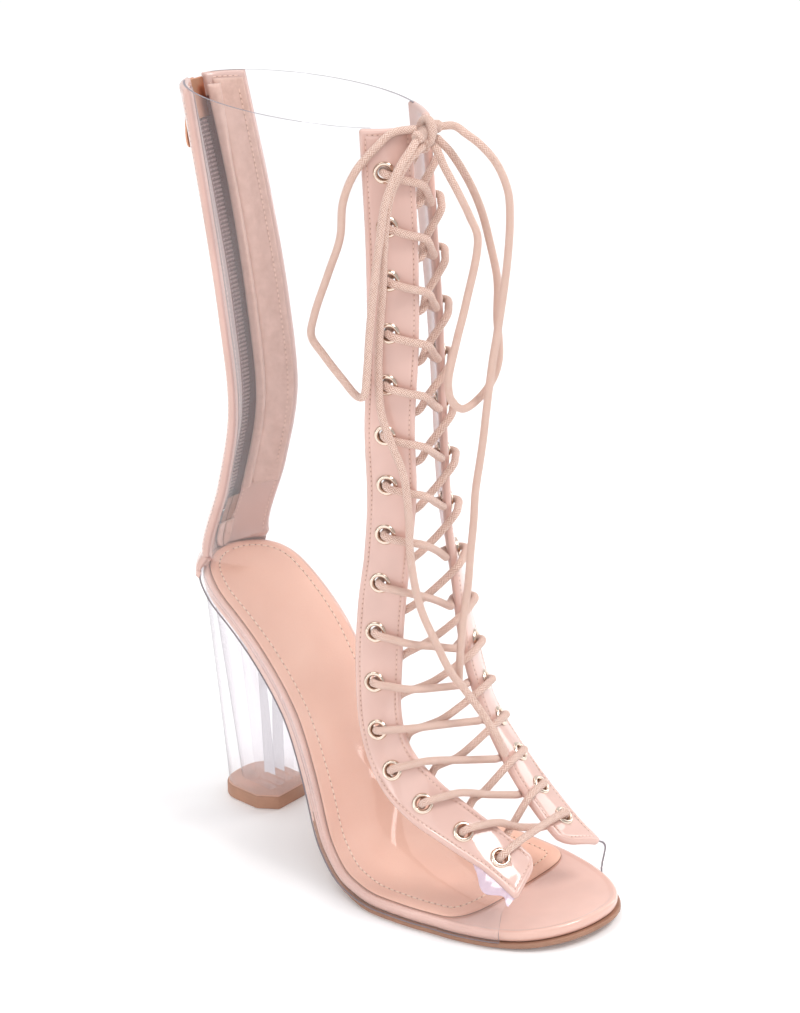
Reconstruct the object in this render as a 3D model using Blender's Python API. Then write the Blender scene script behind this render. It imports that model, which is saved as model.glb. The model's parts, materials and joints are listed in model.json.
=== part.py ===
"""Heeled lace-up boot for the right foot: clear shaft and quarters, peep toe, block heel and back zip.

Lengths are in millimetres in the last's own frame and become metres when a mesh is made. The toe points
along -Y, the lateral side is -X and the floor is z = 0.
"""

import collections
import functools
import math

import bmesh
import bpy
import numpy as np
from mathutils import Matrix, Vector

MM = 0.001
FIT_GAP = 0.3
# Middle of the boot's footprint in the last's frame, which becomes the origin.
CENTRE_X = -4.47
CENTRE_Y = -87.67

# Sole stack, measured along the normal of the footbed's top.
FOOTBED_THICKNESS = 5.0
OUTSOLE_THICKNESS = 2.5
SOCK_THICKNESS = 0.9
RIM_ROUND = 1.4
OUTSOLE_TOP = -(FOOTBED_THICKNESS + FIT_GAP)
OUTSOLE_BOTTOM = OUTSOLE_TOP - OUTSOLE_THICKNESS
# The outsole stands out round the forefoot and draws in under the arch: (y, margin).
OUTSOLE_MARGINS = ((-125, 1.8), (-100, 0.2), (-80, -1.0))
SOCK_INSET = 2.6
FLAT_TOP = -OUTSOLE_BOTTOM

# Ends of the outline: where each round end stops and how far it reaches in.
HEEL_END = 14.0
HEEL_ROUND = 24.0
TOE_END = -200.0
TOE_ROUND = 52.0
TOE_TIP_X = 6.0
HEEL_TIP_X = -1.5
SOCK_END = -161.5
SOCK_ROUND = 22.0
SOCK_TOE_POWER = 4.0
BREAST_Y = -29.0
OUTSOLE_START = BREAST_Y - 2.2
HEEL_POWER = 2.15
SOLE_STATIONS = tuple(range(-15, -148, -6))

# Clear heel and its top lift.
LIFT_HEIGHT = 6.5
LIFT_X = 0.5
LIFT_HALF_WIDTH = 14.8
LIFT_BACK = 8.0
LIFT_FRONT = -25.0
LIFT_ROUND = 12.0
LIFT_CHAMFER = 8.5
HEEL_INSET = 0.8
HEEL_SIDE_WALL = 4.6
HEEL_BREAST_WALL = 3.4
HEEL_BACK_WALL = 5.5
HEEL_FLOOR = 3.0
SEAT_HALF_WIDTH = 26.0
SEAT_HEIGHT = 110.0
POCKET_SLOTS = 4
POCKET_RIB = 0.16
POCKET_RIB_REACH = 0.55
POCKET_CURVE = 0.6

# Footbed's top edge seen from the side.
PROFILE_COLUMNS = ("y", "z")
PROFILE = (
    (-200, FLAT_TOP + 3.6),
    (-178, FLAT_TOP + 0.8),
    (-160, FLAT_TOP),
    (-118, FLAT_TOP),
    (-101, 9.4),
    (-86, 17.0),
    (-73, 35.0),
    (-60, 57.0),
    (-45, 79.0),
    (-28, 96.5),
    (-10, 109.0),
    (4, 115.5),
    (14, 118.5),
)

# Footbed's outline seen from above, before its ends are rounded.
OUTLINE_COLUMNS = ("y", "lateral", "medial")
OUTLINE = (
    (-200, -40.0, 38.0),
    (-170, -40.0, 38.0),
    (-150, -42.5, 38.0),
    (-132, -46.0, 38.0),
    (-115, -47.5, 36.0),
    (-98, -45.0, 32.0),
    (-82, -39.5, 28.0),
    (-66, -32.0, 25.5),
    (-52, -28.5, 25.0),
    (-35, -28.5, 27.0),
    (-15, -28.0, 27.5),
    (0, -25.5, 27.0),
    (14, -24.0, 25.0),
)

# Sections of the last, fanned from the toe to the collar. Each runs from the ridge in front to the sole
# or, in the shaft, to the back. On the sole the two bulges are measured out from the footbed's edge.
SECTION_COLUMNS = (
    "ridge_y", "ridge_z", "foot_y", "foot_z", "ridge_x", "foot_x",
    "lateral", "medial", "widest", "throat_lateral", "throat_medial",
)
SECTIONS = (
    ("toe edge", -186, 25, -182, None, 2, None, -1.0, 1.0, 0.45, 12, 5),
    ("toes", -168, 36, -164, None, 1, None, -1.5, 1.5, 0.42, 13, 5),
    ("ball", -151, 51, -140, None, 0, None, -2.0, 2.5, 0.38, 19.5, 6),
    ("vamp", -138, 69, -110, None, -2, None, -2.0, 4.0, 0.36, 26.5, 7.5),
    ("instep", -128, 90, -78, None, -3, None, -3.5, 7.0, 0.40, 30, 7.5),
    ("waist", -121, 112, -42, None, -3, None, -8.0, 9.0, 0.46, 22.5, 7),
    ("low ankle", -117, 135, -8, None, -3, None, -8.0, 8.0, 0.48, 17, 8),
    ("heel", -115, 159, 14, 118.5, -5, -1.5, -33.0, 31.0, 0.50, 11, 10),
    ("ankle", -114, 184, 4, 156, -5, 0, -30.0, 28.0, 0.50, 8, 11),
    ("low shaft", -112, 214, -3, 194, -5, 1.5, -29.0, 28.0, 0.50, 7, 12),
    ("mid shaft", -110, 250, 2, 240, -4, 2, -29.0, 28.5, 0.50, 4.5, 13),
    ("top shaft", -106, 290, 10, 284, -2, 1.5, -28.0, 30.0, 0.50, 3, 15),
    ("collar", -100, 335, 21, 333, 1, 0.5, -25.5, 32.0, 0.50, 2.5, 16),
)
HEEL_ROW = 7
COLLAR_ROW = len(SECTIONS) - 1
FRONT_ROW = 0.4
ARCH_STEPS = 120
MOST_ROW_STEP = 0.36
TURN_WEIGHT = 30.0
HUG_POWER = 2.5
# How pointed the front of a section is on each side: (row, power).
FRONT_POWERS = {-1: ((0, 0.95), (12, 0.95)), 1: ((6, 0.95), (8, 1.08), (11, 1.15), (12, 1.1))}
SIDE_NAMES = {-1: "lateral", 1: "medial"}

# Layers of the upper, measured out from the last.
CLEAR_WALL = (FIT_GAP, FIT_GAP + 1.0)
SKIRT_CLEARANCE = 0.5
OVERLAY_BASE = CLEAR_WALL[1] + FIT_GAP
EYESTAY_THICKNESS = 1.6
STRIP_THICKNESS = 1.4

# Eyestays and eyelets, measured back from the throat's edge.
EYESTAY_WIDTH = 20.2
EYELET_INSET = 11.5
EYELET_COUNT = 16
EYELET_CELL = 4.4
EYELET_HOLE = 3.4
EYELET_BORE = 2.45
EYELET_BARREL = 2.95
EYELET_LOW = -0.6
EYELET_FLANGE = 4.5
EYELET_FLANGE_HEIGHT = 0.9
EYELET_FACETS = 8
EYELET_TOP_DROP = {-1: 17.5, 1: 15.0}
TOE_PITCHES = {-1: (19.0, 20.5, 19.0, 18.5, 20.5, 21.5), 1: (16.5, 17.0, 17.5, 17.5, 18.5, 19.5)}
SHAFT_PITCH = 21.8
TIP_REACH = 10.5

# Back strips and zip, measured from the back's middle line.
STRIP_WIDTH_LOW = 24.0
STRIP_WIDTH_TOP = 22.5
ZIP_HALF = 4.5
ZIP_LOW_ROW = 7.35
TAPE_HALF = 4.0
TAPE_THICKNESS = 0.8
TEETH_HALF = 2.6
TEETH_HEIGHT = 0.8
ZIP_TOP_DROP = 10.0
SLIDER_DROP = 7.5
SLIDER_WIDTH = 7.2
SLIDER_HEIGHT = 12.0
SLIDER_NECK = 3.0
SLIDER_PLATE = 1.3
BRIDGE_HALF = 1.1
BRIDGE_INSIDE = 1.2
BRIDGE_THICKNESS = 0.9
PULL_UP = -1.0
PULL_LIFT = 1.0
PULL_WIDTH = 6.2
PULL_LENGTH = 23.0
PULL_THICKNESS = 1.1
WINDOW_HALF = 1.6
WINDOW_LENGTH = 4.4
STRIP_SKIRT = 4.2

# Lace. Heights are out from the last; the bow's routes run from the knot, in the last's frame.
LACE_RADIUS = 1.65
LACE_SPACING = 8.0
STRAND_BELOW = -2.6
STRAND_OVER = 5.4
STRAND_UNDER = -1.05
STRAND_MIDDLE = 3.4
STRAND_CROSS = 1.9
BAR = (
    # (side, distance from the eyelet towards the throat, height)
    (-1, 0, 4.6),
    (-1, 1.6, 6.6),
    (-1, 6.5, 6.0),
    (-1, 11.5, 5.6),
    (1, 11.5, 5.6),
    (1, 6.5, 6.0),
    (1, 1.6, 6.6),
    (1, 0, 4.6),
)
KNOT_TAILS = {
    -1: ((2.2, -101.5, 324.0), (2.6, -105.0, 325.0), (0.6, -106.2, 326.3)),
    1: ((13.0, -101.0, 325.5), (8.5, -103.5, 328.5), (4.6, -103.9, 331.0)),
}
KNOT_CENTRE = (0.0, -107.5, 333.0)
KNOT_RADII = (4.6, 4.4, 5.5)
KNOT_RINGS = 6
KNOT_FACETS = 8
BOW_ROUTES = {
    "lace_loop_lateral": (
        (-4.9, -105.8, 335.2), (-12, -100, 334), (-18, -97, 329), (-24, -91, 319), (-28, -88, 307),
        (-30, -88, 293), (-32, -83, 277), (-34, -77, 259), (-34, -75, 249), (-34, -81, 243),
        (-34, -91, 235), (-34, -100, 229), (-34, -103, 230), (-33, -104, 240), (-31, -104, 257),
        (-30, -106, 278), (-28, -107, 294), (-25, -108, 311), (-18, -109, 323), (-10, -109, 329.5),
        (-5.6, -107.8, 331.8),
    ),
    "lace_end_lateral": (
        (-4, -109.2, 328.6), (-10, -108, 325), (-19, -106, 313), (-23, -106, 300), (-24, -106, 291),
        (-24, -105, 274), (-25, -104, 255), (-26, -104, 239), (-27, -106, 222), (-26, -111, 208),
        (-24, -115, 196), (-23, -117, 177), (-22.5, -117, 162), (-22.5, -119.5, 147), (-21, -122, 135),
        (-19, -127, 123), (-14, -132, 107), (-10, -136, 99), (-7, -144, 88), (-4, -150, 77),
        (-3, -152, 71),
    ),
    "lace_loop_medial": (
        (4.4, -109.5, 330), (10, -112, 323), (15, -117, 311), (18, -121, 299), (20, -124, 285),
        (21, -127, 270), (21, -127, 254), (20, -129, 237), (17, -128, 228), (10, -126, 221),
        (0, -126, 220), (-4, -124, 224), (-5, -123, 232), (0, -123, 248), (5, -124, 264),
        (11, -125, 290), (10, -122, 298), (6, -119, 309), (3, -114, 320), (2, -112.5, 324.5),
        (1.5, -110.6, 327.2),
    ),
    "lace_end_medial": (
        (5.4, -108, 334), (10, -113.5, 334.5), (11, -119, 332), (13, -125, 328), (17, -130, 320),
        (19, -134, 309), (19, -135, 297), (18, -135, 284), (17, -134, 270), (15, -133, 255), (12, -132, 238),
        (9, -132, 222), (7, -131, 203), (5, -129, 182), (4, -129, 170), (2, -129, 156),
        (-1, -130, 141), (-5, -131, 129), (-8, -132, 117), (-8, -131, 101),
    ),
}

COLOURS = {
    # name: (red, green, blue, roughness, metallic, transmission)
    "clear": (0.95, 0.95, 0.96, 0.06, 0.0, 0.95),
    "patent": (0.80, 0.58, 0.50, 0.16, 0.0, 0.0),
    "sock": (0.87, 0.60, 0.47, 0.55, 0.0, 0.0),
    "tan": (0.42, 0.22, 0.14, 0.45, 0.0, 0.0),
    "gold": (0.83, 0.60, 0.40, 0.22, 1.0, 0.0),
    "mauve": (0.42, 0.28, 0.28, 0.60, 0.0, 0.0),
    "lace": (0.78, 0.56, 0.45, 0.85, 0.0, 0.0),
}


def clear_scene():
    for old in list(bpy.data.objects):
        bpy.data.objects.remove(old, do_unlink=True)


clear_scene()


def material(name, finish):
    red, green, blue, roughness, metallic, transmission = COLOURS[finish]
    made = bpy.data.materials.new(name)
    made.use_nodes = True
    shader = made.node_tree.nodes["Principled BSDF"]
    shader.inputs["Base Color"].default_value = (red, green, blue, 1.0)
    shader.inputs["Roughness"].default_value = roughness
    shader.inputs["Metallic"].default_value = metallic
    shader.inputs["Transmission Weight"].default_value = transmission
    return made


def to_metres(points):
    """Points in the last's frame as points of the part, in metres."""
    moved = np.asarray(points, float).reshape(-1, 3) - (CENTRE_X, CENTRE_Y, 0.0)
    return moved * MM


def add_object(name, points, faces, finish, smooth=True, sharp_degrees=40):
    mesh = bpy.data.meshes.new(name)
    mesh.from_pydata([tuple(point) for point in to_metres(points)], [], faces)
    body = bmesh.new()
    body.from_mesh(mesh)
    bmesh.ops.remove_doubles(body, verts=body.verts, dist=1e-6)
    bmesh.ops.recalc_face_normals(body, faces=body.faces)
    body.to_mesh(mesh)
    body.free()
    if smooth:
        mesh.shade_smooth()
        mesh.set_sharp_from_angle(angle=math.radians(sharp_degrees))
    mesh.materials.append(material(name, finish))
    made = bpy.data.objects.new(name, mesh)
    bpy.context.scene.collection.objects.link(made)
    return made


def place_origin(made, point):
    """Moves an object's origin to a point and leaves its shape where it is."""
    place = Vector(to_metres([point])[0])
    made.data.transform(Matrix.Translation(made.location - place))
    made.location = place


def prism(name, rings, finish="clear"):
    """A flat-sided solid between two rings of equal length."""
    count = len(rings[0])
    faces = [tuple(range(count)), tuple(range(2 * count - 1, count - 1, -1))]
    faces += [(i, (i + 1) % count, (i + 1) % count + count, i + count) for i in range(count)]
    return add_object(name, [*rings[0], *rings[1]], faces, finish, smooth=False)


def combine(target, other, operation):
    """Joins another closed solid to this one, or cuts it away, and takes the other out of sight."""
    modifier = target.modifiers.new(operation.lower(), "BOOLEAN")
    modifier.operation = operation
    modifier.object = other
    other.hide_render = True
    other.display_type = "WIRE"


# ---------------------------------------------------------------- curves through short tables


def monotone_slopes(xs, ys):
    """Slopes at the table's rows that never overshoot, so level stretches stay level."""
    steps = np.diff(ys) / np.diff(xs)
    slopes = np.zeros(len(xs))
    for i in range(1, len(xs) - 1):
        if steps[i - 1] * steps[i] > 0:
            slopes[i] = 2 * steps[i - 1] * steps[i] / (steps[i - 1] + steps[i])
    slopes[0], slopes[-1] = steps[0], steps[-1]
    return slopes


def table_curve(table, column):
    xs = np.array([row[0] for row in table], float)
    ys = np.array([row[column] for row in table], float)
    slopes = monotone_slopes(xs, ys)

    def value(x):
        i = int(np.clip(np.searchsorted(xs, x) - 1, 0, len(xs) - 2))
        width = xs[i + 1] - xs[i]
        t = (x - xs[i]) / width
        low = (2 * t**3 - 3 * t**2 + 1) * ys[i] + (t**3 - 2 * t**2 + t) * width * slopes[i]
        high = (3 * t**2 - 2 * t**3) * ys[i + 1] + (t**3 - t**2) * width * slopes[i + 1]
        return float(low + high)

    return value


top_height = table_curve(PROFILE, PROFILE_COLUMNS.index("z"))
lateral_edge = table_curve(OUTLINE, OUTLINE_COLUMNS.index("lateral"))
medial_edge = table_curve(OUTLINE, OUTLINE_COLUMNS.index("medial"))


# ---------------------------------------------------------------- sole


def round_end(depth, power):
    """1 where a round end starts, falling to 0 at its tip."""
    return (1.0 - depth**power) ** (1.0 / power)


def edge_x(y, side, toe_end=TOE_END, toe_round=TOE_ROUND, toe_power=2.1):
    """The footbed's edge at y, on side -1 (lateral) or +1 (medial)."""
    edge = lateral_edge(y) if side < 0 else medial_edge(y)
    toe = float(np.clip((toe_end + toe_round - y) / toe_round, 0.0, 1.0))
    heel = float(np.clip((y - HEEL_END + HEEL_ROUND) / HEEL_ROUND, 0.0, 1.0))
    centre = TOE_TIP_X * toe + HEEL_TIP_X * heel
    return centre + (edge - centre) * round_end(toe, toe_power) * round_end(heel, HEEL_POWER)


def sole_normal(y):
    """Upward unit normal (y, z) of the footbed's top at y."""
    step = 0.5
    rise = top_height(y + step) - top_height(y - step)
    length = math.hypot(rise, 2 * step)
    return -rise / length, 2 * step / length


def sole_point(x, y, height):
    normal_y, normal_z = sole_normal(y)
    return np.array((x, y + height * normal_y, top_height(y) + height * normal_z))


def sole_stations(start, end, toe_round, round_steps=7):
    """Places along the sole from heel to toe, closer together in the round ends."""
    angles = np.linspace(0, math.pi / 2, round_steps + 1)
    toe = [end + toe_round * (1 - math.sin(angle)) for angle in angles]
    heel = [start]
    if start == HEEL_END:
        heel = [HEEL_END - HEEL_ROUND * (1 - math.cos(angle)) for angle in angles]
    straight = [y for y in SOLE_STATIONS if toe[0] + 2 < y < heel[-1] - 2]
    return [*heel, *straight, *toe]


def inset_edge(stations, side, inset, **toe):
    """The footbed's edge at the stations, moved inward in the plane of the sole."""
    points = np.array([(edge_x(y, side, **toe), y) for y in stations])
    along = np.gradient(points, axis=0)
    along /= np.linalg.norm(along, axis=1)[:, None]
    inward = np.stack([along[:, 1], -along[:, 0]], axis=1) * side
    inward[0] = (0.0, -1.0) if stations[0] == HEEL_END else (-side, 0.0)
    inward[-1] = (0.0, 1.0)
    return points + inward * np.broadcast_to(inset, len(points))[:, None]


def outsole_margin(stations):
    """How far the outsole reaches past the footbed at each station."""
    return np.interp(stations, *zip(*OUTSOLE_MARGINS))


def sole_ring(stations, inset, height, **toe):
    """Edge points from the heel down the lateral side and back up the medial side."""
    lateral, medial = (inset_edge(stations, side, inset, **toe) for side in (-1, 1))
    last = 0 if stations[0] == HEEL_END else None
    return [sole_point(x, y, height) for x, y in [*lateral, *medial[-2:last:-1]]]


def cap_rungs(first, count, tip_at_start):
    """Faces across a ring, from the lateral to the medial point at each station."""
    faces = []
    low, high = 0, count - 1
    if tip_at_start:
        faces.append((first, first + 1, first + high))
        low = 1
    while high - low > 2:
        faces.append((first + low, first + low + 1, first + high - 1, first + high))
        low, high = low + 1, high - 1
    faces.append((first + low, first + low + 1, first + high))
    return faces


def ring_solid(name, rings, finish, tip_at_start=True, **look):
    """A solid through closed rings of equal length, capped on the first and the last."""
    count = len(rings[0])
    points = [point for ring in rings for point in ring]
    faces = []
    for level in range(len(rings) - 1):
        for i in range(count):
            j = (i + 1) % count
            low, high = level * count, (level + 1) * count
            faces.append((low + i, low + j, high + j, high + i))
    faces += cap_rungs(0, count, tip_at_start)
    faces += cap_rungs((len(rings) - 1) * count, count, tip_at_start)
    return add_object(name, points, faces, finish, **look)


def make_footbed():
    stations = sole_stations(HEEL_END, TOE_END, TOE_ROUND)
    low = -FOOTBED_THICKNESS
    steps = ((RIM_ROUND, 0.0), (0.0, -RIM_ROUND), (0.0, low + RIM_ROUND), (RIM_ROUND, low))
    return ring_solid("footbed", [sole_ring(stations, *step) for step in steps], "patent")


def make_outsole():
    stations = sole_stations(OUTSOLE_START, TOE_END, TOE_ROUND)
    middle = OUTSOLE_BOTTOM + 0.6
    margin = outsole_margin(stations)
    steps = ((-margin, OUTSOLE_TOP), (-margin, middle), (1.0 - margin, OUTSOLE_BOTTOM))
    rings = [sole_ring(stations, *step) for step in steps]
    return ring_solid("outsole", rings, "tan", tip_at_start=False)


def make_sock():
    toe = {"toe_end": SOCK_END, "toe_round": SOCK_ROUND, "toe_power": SOCK_TOE_POWER}
    stations = sole_stations(HEEL_END, SOCK_END, SOCK_ROUND)
    top = FIT_GAP + SOCK_THICKNESS
    steps = ((SOCK_INSET, FIT_GAP), (SOCK_INSET, top - 0.4), (SOCK_INSET + 0.4, top))
    rings = [sole_ring(stations, *step, **toe) for step in steps]
    return ring_solid("insole_sock", rings, "sock")


# ---------------------------------------------------------------- heel


def even_points(points, count):
    """The same path with its points spread evenly along it."""
    points = np.asarray(points, float)
    lengths = np.r_[0, np.cumsum(np.linalg.norm(np.diff(points, axis=0), axis=1))]
    places = np.linspace(0, lengths[-1], count)
    return np.stack([np.interp(places, lengths, points[:, axis]) for axis in range(points.shape[1])], axis=1)


def lift_side(side, inset):
    """The top lift's outline from its back to its breast, with a chamfered front corner."""
    half = LIFT_HALF_WIDTH - inset
    back = LIFT_BACK - inset
    front = LIFT_FRONT + inset
    angles = np.linspace(0, math.pi / 2, 9)
    rounded = [(half * math.sin(a) ** 0.8, back - LIFT_ROUND * (1 - math.cos(a) ** 0.8)) for a in angles]
    corner = [(half, front + LIFT_CHAMFER), (half - LIFT_CHAMFER * 0.7, front)]
    return [(LIFT_X + side * x, y) for x, y in [*rounded, *corner]]


def seat_side(side):
    """The heel's outline under the seat, from its back to its breast."""
    stations = [y for y in sole_stations(HEEL_END, TOE_END, TOE_ROUND) if y > BREAST_Y]
    edge = [*inset_edge(stations, side, HEEL_INSET), (edge_x(BREAST_Y, side) - side * HEEL_INSET, BREAST_Y)]
    return [sole_point(x, y, OUTSOLE_TOP) for x, y in edge]


def heel_ring(share, count=15):
    """The heel's outline at a share of its height, 0 on the lift and 1 under the seat."""
    ring = []
    for side in (-1, 1):
        seat = even_points(seat_side(side), count)
        lift = even_points([(x, y, LIFT_HEIGHT + FIT_GAP) for x, y in lift_side(side, HEEL_INSET)], count)
        points = lift + (seat - lift) * share
        ring += [*points] if side < 0 else [*points[:0:-1]]
    return ring


def pocket_outline():
    """The hollow inside the heel, comb-shaped: -1 to 1 across, 0 at the breast and 1 at the back."""
    slot = (2 - (POCKET_SLOTS - 1) * POCKET_RIB) / POCKET_SLOTS
    outline = []
    for i in range(POCKET_SLOTS):
        start = -1 + i * (slot + POCKET_RIB)
        outline += [(start, POCKET_RIB_REACH), (start, 0), (start + slot, 0), (start + slot, POCKET_RIB_REACH)]
    back = [(math.sin(a), POCKET_CURVE + (1 - POCKET_CURVE) * math.cos(a)) for a in np.linspace(1.3, -1.3, 7)]
    return outline[1:-1] + back


def pocket_ring(share):
    """The hollow's outline at a share of the heel's height, wider towards the seat."""
    half = LIFT_HALF_WIDTH - HEEL_SIDE_WALL + (SEAT_HALF_WIDTH - LIFT_HALF_WIDTH) * share
    front = LIFT_FRONT + HEEL_BREAST_WALL
    back = LIFT_BACK - HEEL_BACK_WALL + (HEEL_END - LIFT_BACK) * share
    low = LIFT_HEIGHT + FIT_GAP + HEEL_FLOOR
    height = low + (SEAT_HEIGHT - low) * share
    return [(LIFT_X + u * half, front + (back - front) * v, height) for u, v in pocket_outline()]


def make_heel():
    """A clear block under the seat, hollowed from above, with ribs that run in from its breast."""
    shares = np.linspace(0, 1, 6)
    heel = ring_solid("heel_block", [heel_ring(share) for share in shares], "clear")
    rings = [pocket_ring(share) for share in (0.0, 1.3)]
    combine(heel, prism("heel_pocket", rings), "DIFFERENCE")
    return heel


def make_lift():
    rings = []
    for inset, z in ((0.5, 0.0), (0.0, 0.6), (0.0, LIFT_HEIGHT)):
        lateral, medial = (lift_side(side, inset) for side in (-1, 1))
        rings.append([(x, y, z) for x, y in [*lateral, *medial[:0:-1]]])
    return ring_solid("top_lift", rings, "tan")


# ---------------------------------------------------------------- last


def section_rows():
    """The sections as numbers, with their feet and widths on the sole worked out."""
    rows = []
    for name, ridge_y, ridge_z, foot_y, foot_z, ridge_x, foot_x, lateral, medial, *rest in SECTIONS:
        feet = (foot_x, foot_x)
        if foot_z is None:
            foot_z = top_height(foot_y)
            feet = (edge_x(foot_y, -1), edge_x(foot_y, 1))
            lateral, medial = lateral + feet[0], medial + feet[1]
        rows.append((ridge_x, ridge_y, ridge_z, foot_y, foot_z, *feet, lateral, medial, *rest))
    return np.array(rows, float)


ROWS = section_rows()
ROW_SLOPES = np.gradient(ROWS, axis=0)


def section(row):
    """Ridge point, foot points, widest x, widest share and throat half gaps at a row number."""
    i = int(np.clip(math.floor(row), 0, len(ROWS) - 2))
    t = row - i
    values = (2 * t**3 - 3 * t**2 + 1) * ROWS[i] + (t**3 - 2 * t**2 + t) * ROW_SLOPES[i]
    values += (3 * t**2 - 2 * t**3) * ROWS[i + 1] + (t**3 - t**2) * ROW_SLOPES[i + 1]
    ridge_x, ridge_y, ridge_z, foot_y, foot_z, foot_lateral, foot_medial, lateral, medial, widest = values[:10]
    if row < HEEL_ROW:
        if row > HEEL_ROW - 1:
            start = ROWS[HEEL_ROW - 1, 3]
            first = math.asin(((start - HEEL_END + HEEL_ROUND) / HEEL_ROUND) ** (HEEL_POWER / 2))
            angle = first + (math.pi / 2 - first) * (row - HEEL_ROW + 1)
            foot_y = HEEL_END - HEEL_ROUND * (1 - math.sin(angle) ** (2 / HEEL_POWER))
        foot_z = top_height(foot_y)
        foot_lateral, foot_medial = edge_x(foot_y, -1), edge_x(foot_y, 1)
    else:
        foot_lateral = foot_medial = float(np.interp(row, range(len(ROWS)), ROWS[:, 5]))
    return {
        "ridge": np.array((ridge_x, ridge_y, ridge_z)),
        "foot": {-1: np.array((foot_lateral, foot_y, foot_z)), 1: np.array((foot_medial, foot_y, foot_z))},
        "width": {-1: lateral, 1: medial},
        "widest": widest,
        "gap": {-1: values[10], 1: values[11]},
    }


@functools.lru_cache(maxsize=None)
def arch(row, side):
    """One side of a section from ridge to foot: its points, and how far along it each one is."""
    cut = section(row)
    ridge, foot, width, widest = cut["ridge"], cut["foot"][side], cut["width"][side], cut["widest"]
    angles = np.linspace(0, math.pi, ARCH_STEPS)
    upper = angles <= math.pi / 2
    share = np.where(upper, widest + (1 - widest) * np.cos(angles), widest * (1 + np.cos(angles)))
    bulge = np.sin(angles).clip(0)
    low_x = foot[0] + (width - foot[0]) * bulge
    turn = row - HEEL_ROW + 1
    if 0 < turn < 1:
        hugging = (abs(foot[0]) ** HUG_POWER + abs(width * bulge) ** HUG_POWER) ** (1 / HUG_POWER)
        low_x += (side * hugging - low_x) * turn * np.where(upper, 0, np.abs(np.cos(angles)))
    power = float(np.interp(row, *zip(*FRONT_POWERS[side])))
    x = np.where(upper, ridge[0] + (width - ridge[0]) * bulge**power, low_x)
    points = np.stack([x, foot[1] + (ridge[1] - foot[1]) * share, foot[2] + (ridge[2] - foot[2]) * share], axis=1)
    lengths = np.r_[0, np.cumsum(np.linalg.norm(np.diff(points, axis=0), axis=1))]
    return points, lengths


def reach(row, side):
    """Length of a section's side from ridge to foot."""
    return arch(row, side)[1][-1]


def on_last(row, side, along):
    points, lengths = arch(round(float(np.clip(row, 0, COLLAR_ROW)), 6), side)
    return np.array([np.interp(along, lengths, points[:, axis]) for axis in range(3)])


def surface_normal(row, side, along):
    """Outward normal of the last, away from the middle of its section."""
    step, turn = 0.6, 0.15
    end = reach(row, side)
    down = on_last(row, side, min(along + step, end)) - on_last(row, side, max(along - step, 0))
    up = on_last(row + turn, side, along) - on_last(row - turn, side, along)
    normal = np.cross(down, up)
    normal /= np.linalg.norm(normal)
    cut = section(row)
    middle = (cut["ridge"] + cut["foot"][side]) / 2
    middle[0] = (cut["width"][-1] + cut["width"][1]) / 2
    return normal if np.dot(normal, on_last(row, side, along) - middle) > 0 else -normal


def edge_normal(foot_y, side):
    """Outward normal of the sole's edge, in the plane of the sole."""
    step = 0.2
    low, high = max(foot_y - step, TOE_END), min(foot_y + step, HEEL_END)
    run = np.array((edge_x(high, side) - edge_x(low, side), high - low))
    if foot_y >= HEEL_END - 0.01:
        outward = np.array((0.0, 1.0))
    else:
        outward = np.array((run[1], -run[0])) * side
        outward /= np.linalg.norm(outward)
    normal_y, normal_z = sole_normal(foot_y)
    return np.array((outward[0], outward[1] * normal_z, -outward[1] * normal_y))


def on_shell(row, side, along, offset):
    """A point of the upper: along the section from its ridge, and offset outward from the last.

    Past the foot of a section that stands on the sole, it runs down beside the footbed.
    """
    end = reach(row, side)
    if row < HEEL_ROW + 1e-6 and along >= end - 1e-6:
        foot = section(min(row, HEEL_ROW - 1e-9))["foot"][side]
        down = -np.array((0.0, *sole_normal(foot[1])))
        return foot + edge_normal(foot[1], side) * (offset + SKIRT_CLEARANCE) + down * (along - end)
    if along >= end - 1e-6:
        normal = surface_normal(row, -1, reach(row, -1)) + surface_normal(row, 1, reach(row, 1))
        return on_last(row, side, end) + normal / np.linalg.norm(normal) * offset
    return on_last(row, side, along) + surface_normal(row, side, along) * offset


# ---------------------------------------------------------------- upper


def sheet_solid(name, sheets, finish, **look):
    """A wall between two layers. Each sheet is (inner points, outer points, faces); equal points are welded."""
    keys, inner, outer, faces = {}, [], [], []
    for low, high, sheet_faces in sheets:
        index = []
        for below, above in zip(low, high):
            key = tuple(np.round((below + above) / 2, 2))
            if key not in keys:
                keys[key] = len(inner)
                inner.append(below)
                outer.append(above)
            index.append(keys[key])
        faces += [tuple(index[i] for i in face) for face in sheet_faces]
    count = len(inner)
    solid = faces + [tuple(i + count for i in face) for face in faces]
    uses = collections.Counter(frozenset(edge) for face in faces for edge in zip(face, (*face[1:], face[0])))
    for edge, times in uses.items():
        if times == 1:
            start, end = edge
            solid.append((start, end, end + count, start + count))
    return add_object(name, [*inner, *outer], solid, finish, **look)


def eyelet_rows(side):
    """Row numbers at each eyelet's lower edge, centre and upper edge, evenly stepped along the eyelet line."""
    rows = np.linspace(0, COLLAR_ROW, 400)
    line = [on_shell(row, side, section(row)["gap"][side] + EYELET_INSET, OVERLAY_BASE) for row in rows]
    lengths = np.r_[0, np.cumsum(np.linalg.norm(np.diff(line, axis=0), axis=1))]
    pitches = np.array([*TOE_PITCHES[side], *[SHAFT_PITCH] * (EYELET_COUNT - 1 - len(TOE_PITCHES[side]))])
    places = lengths[-1] - EYELET_TOP_DROP[side] - np.r_[0, np.cumsum(pitches[::-1])][::-1]
    edges = [[place + shift for shift in (-EYELET_CELL, 0, EYELET_CELL)] for place in places]
    tip = np.interp(places[0] - TIP_REACH, lengths, rows)
    return float(tip), [[float(np.interp(place, lengths, rows)) for place in edge] for edge in edges]


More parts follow.
